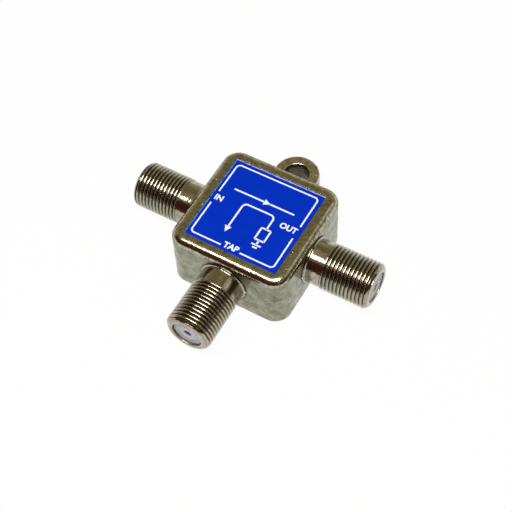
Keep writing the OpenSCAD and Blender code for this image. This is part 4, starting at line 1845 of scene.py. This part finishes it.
@dataclass
class Studio:
    """Floor, world, lamps, dark cards and camera."""

    centre: Triple = (0.0, 0.0, 0.008)
    camera_at: Triple = (0.068687, -0.106930, 0.189304)
    camera_turn: Triple = (2.488556, 0.650272, -0.244052)
    lens: float = 79.687
    around: Colour = (0.22, 0.20, 0.16)
    floor_half: float = 0.14
    floor_glow: float = 0.95
    lamps: tuple[Lamp, ...] = (
        Lamp("strip", (3.5, 20.0), (50.0, 12.5), 15.0),
        Lamp("crest_light", (13.0, 5.5), (23.0, 16.0), 13.0, True),
        Lamp("kicker", (43.0, -37.0), (20.0, 20.0), 0.45),
    )
    flags: tuple[Flag, ...] = (
        Flag(
            "canopy", (-180, 180), (7, 90),
            ((0.56, 0.50, 0.39), (0.25, 0.22, 0.112), (0.46, 0.385, 0.26)), 1.0,
        ),
        Flag("front_card", (-232, -108), (-1.2, 46), ((0.075, 0.024, 0.014),) * 3),
        Flag("side_card", (60, 125), (-1.2, 28), ((0.07, 0.042, 0.024),) * 3),
    )

    def camera(self) -> None:
        """Sets the camera as it stood for the photograph, from its place and its turning vector."""
        data = bpy.data.cameras.new("camera")
        data.lens = self.lens
        data.sensor_width = 36.0
        data.clip_start = 0.01
        eye = link(bpy.data.objects.new("camera", data))
        turn = Vector(self.camera_turn)
        into = Quaternion(turn.normalized(), turn.length).to_matrix()
        basis = into.transposed() @ Matrix.Diagonal((1, -1, -1))
        eye.matrix_world = Matrix.Translation(self.camera_at) @ basis.to_4x4()
        bpy.context.scene.camera = eye

    def shows_background(self, sheet: NodeSheet) -> Socket:
        """Tells the rays that see the white background: camera, glossy and transmission.

        Args:
            sheet: The sheet that gets the nodes.

        Returns:
            One for those rays, else nothing.
        """
        path = sheet.node("LightPath").outputs
        glossy = sheet.maths("MAXIMUM", path["Is Glossy Ray"], path["Is Transmission Ray"])
        return sheet.maths("MAXIMUM", path["Is Camera Ray"], glossy)

    def world(self) -> None:
        """Dim light all round; the camera and the metal see the background itself as white."""
        world = bpy.data.worlds.new("surround")
        world.use_nodes = True
        bpy.context.scene.world = world
        sheet = NodeSheet(world.node_tree)
        colour = sheet.mix(self.shows_background(sheet), self.around, (1.0, 1.0, 1.0))
        back = sheet.node("Background", {"Color": colour, "Strength": 1.0})
        sheet.node("OutputWorld", {"Surface": back.outputs[0]})

    def floor(self) -> None:
        """A pale floor, clear from below: the camera and the metal see it near white, faintly shadowed."""
        h = self.floor_half / MM
        corners = np.array([(-h, -h, 0.0), (h, -h, 0.0), (h, h, 0.0), (-h, h, 0.0)])
        floor = Surface(corners, [np.array([[0, 1, 2, 3]])]).to_object("floor")
        material, sheet = new_material("pale_floor")
        diffuse = sheet.node("BsdfDiffuse", {"Color": (0.9, 0.9, 0.89)})
        glow = sheet.node("Emission", {"Color": (1.0, 1.0, 1.0), "Strength": 1.0})
        seen = sheet.maths("MULTIPLY", self.shows_background(sheet), self.floor_glow)
        mixed = sheet.node("MixShader", {0: seen, 1: diffuse.outputs[0], 2: glow.outputs[0]})
        below, clear = sheet.node("NewGeometry").outputs["Backfacing"], sheet.node("BsdfTransparent")
        one_sided = sheet.node("MixShader", {0: below, 1: mixed.outputs[0], 2: clear.outputs[0]})
        sheet.node("OutputMaterial", {"Surface": one_sided.outputs[0]})
        material.cycles.emission_sampling = "NONE"
        dress(floor, material)

    def light(self, lamp: Lamp) -> None:
        """Adds a lamp; its power is its radiance times its area times pi.

        Args:
            lamp: The lamp.
        """
        data = bpy.data.lights.new(lamp.name, "AREA")
        data.shape = "RECTANGLE"
        width, depth = (2 * lamp.distance * math.tan(math.radians(s / 2)) for s in lamp.spread)
        data.size, data.size_y = width, depth
        data.energy = lamp.radiance * math.pi * width * depth
        to_x, to_front = (math.tan(math.radians(a)) for a in lamp.tilt)
        way = Vector((to_x, -to_front, 1.0)).normalized()
        across = way.cross(Vector((1.0, 0.0, 0.0))).normalized()
        turn = Matrix((across.cross(way), across, way)).transposed()
        made = link(bpy.data.objects.new(lamp.name, data))
        made.visible_diffuse = not lamp.reflected_only
        made.matrix_world = Matrix.Translation(Vector(self.centre) + way * lamp.distance) @ turn.to_4x4()

    def card(self, flag: Flag) -> None:
        """Adds a dim card curved round the part: a patch of a sphere, seen in reflections alone.

        Args:
            flag: The card.
        """
        rows, cols = 7, 25
        azimuth = np.radians(np.linspace(*flag.azimuth, cols))
        elevation = np.radians(np.linspace(*flag.elevation, rows))
        a, e = np.meshgrid(azimuth, elevation)
        grid = np.stack([np.sin(a) * np.cos(e), np.cos(a) * np.cos(e), np.sin(e)], -1)
        points = (grid * flag.distance + np.array(self.centre)) / MM
        faces = quads(rows, cols).reshape(rows - 1, cols, 4)[:, :-1].reshape(-1, 4)
        card = Surface(points.reshape(-1, 3), [faces]).to_object(flag.name)
        material, sheet = new_material(flag.name)
        rise = sheet.split(sheet.vector("NORMALIZE", sheet.place()))[2]
        glow: Value = flag.glow[0]
        for span, after in zip(flag.rises, flag.glow[1:]):
            glow = sheet.mix(sheet.ramp(rise, *span), glow, after)
        shader(
            sheet, Base_Color=(0.0, 0.0, 0.0), Roughness=1.0, Specular_IOR_Level=0.0,
            Emission_Color=glow, Emission_Strength=1.0,
        )
        material.cycles.emission_sampling = "NONE"
        dress(card, material)
        card.visible_camera = False
        card.visible_shadow = False
        card.visible_diffuse = False

    def build(self) -> None:
        """Sets up everything round the part."""
        self.camera()
        self.world()
        self.floor()
        for lamp in self.lamps:
            self.light(lamp)
        for flag in self.flags:
            self.card(flag)
        bpy.context.scene.view_settings.view_transform = "Standard"
        LOG.info("studio: %d lamps, %d cards", len(self.lamps), len(self.flags))


def main() -> None:
    """Builds every piece in order."""
    logging.basicConfig(level=logging.INFO, format="%(name)s: %(message)s")
    casting = Casting()
    casting.build()
    Label().build()
    Insulators(casting).build()
    Back(casting).build()
    Inside().build()
    Studio().build()


if __name__ == "__main__":
    main()
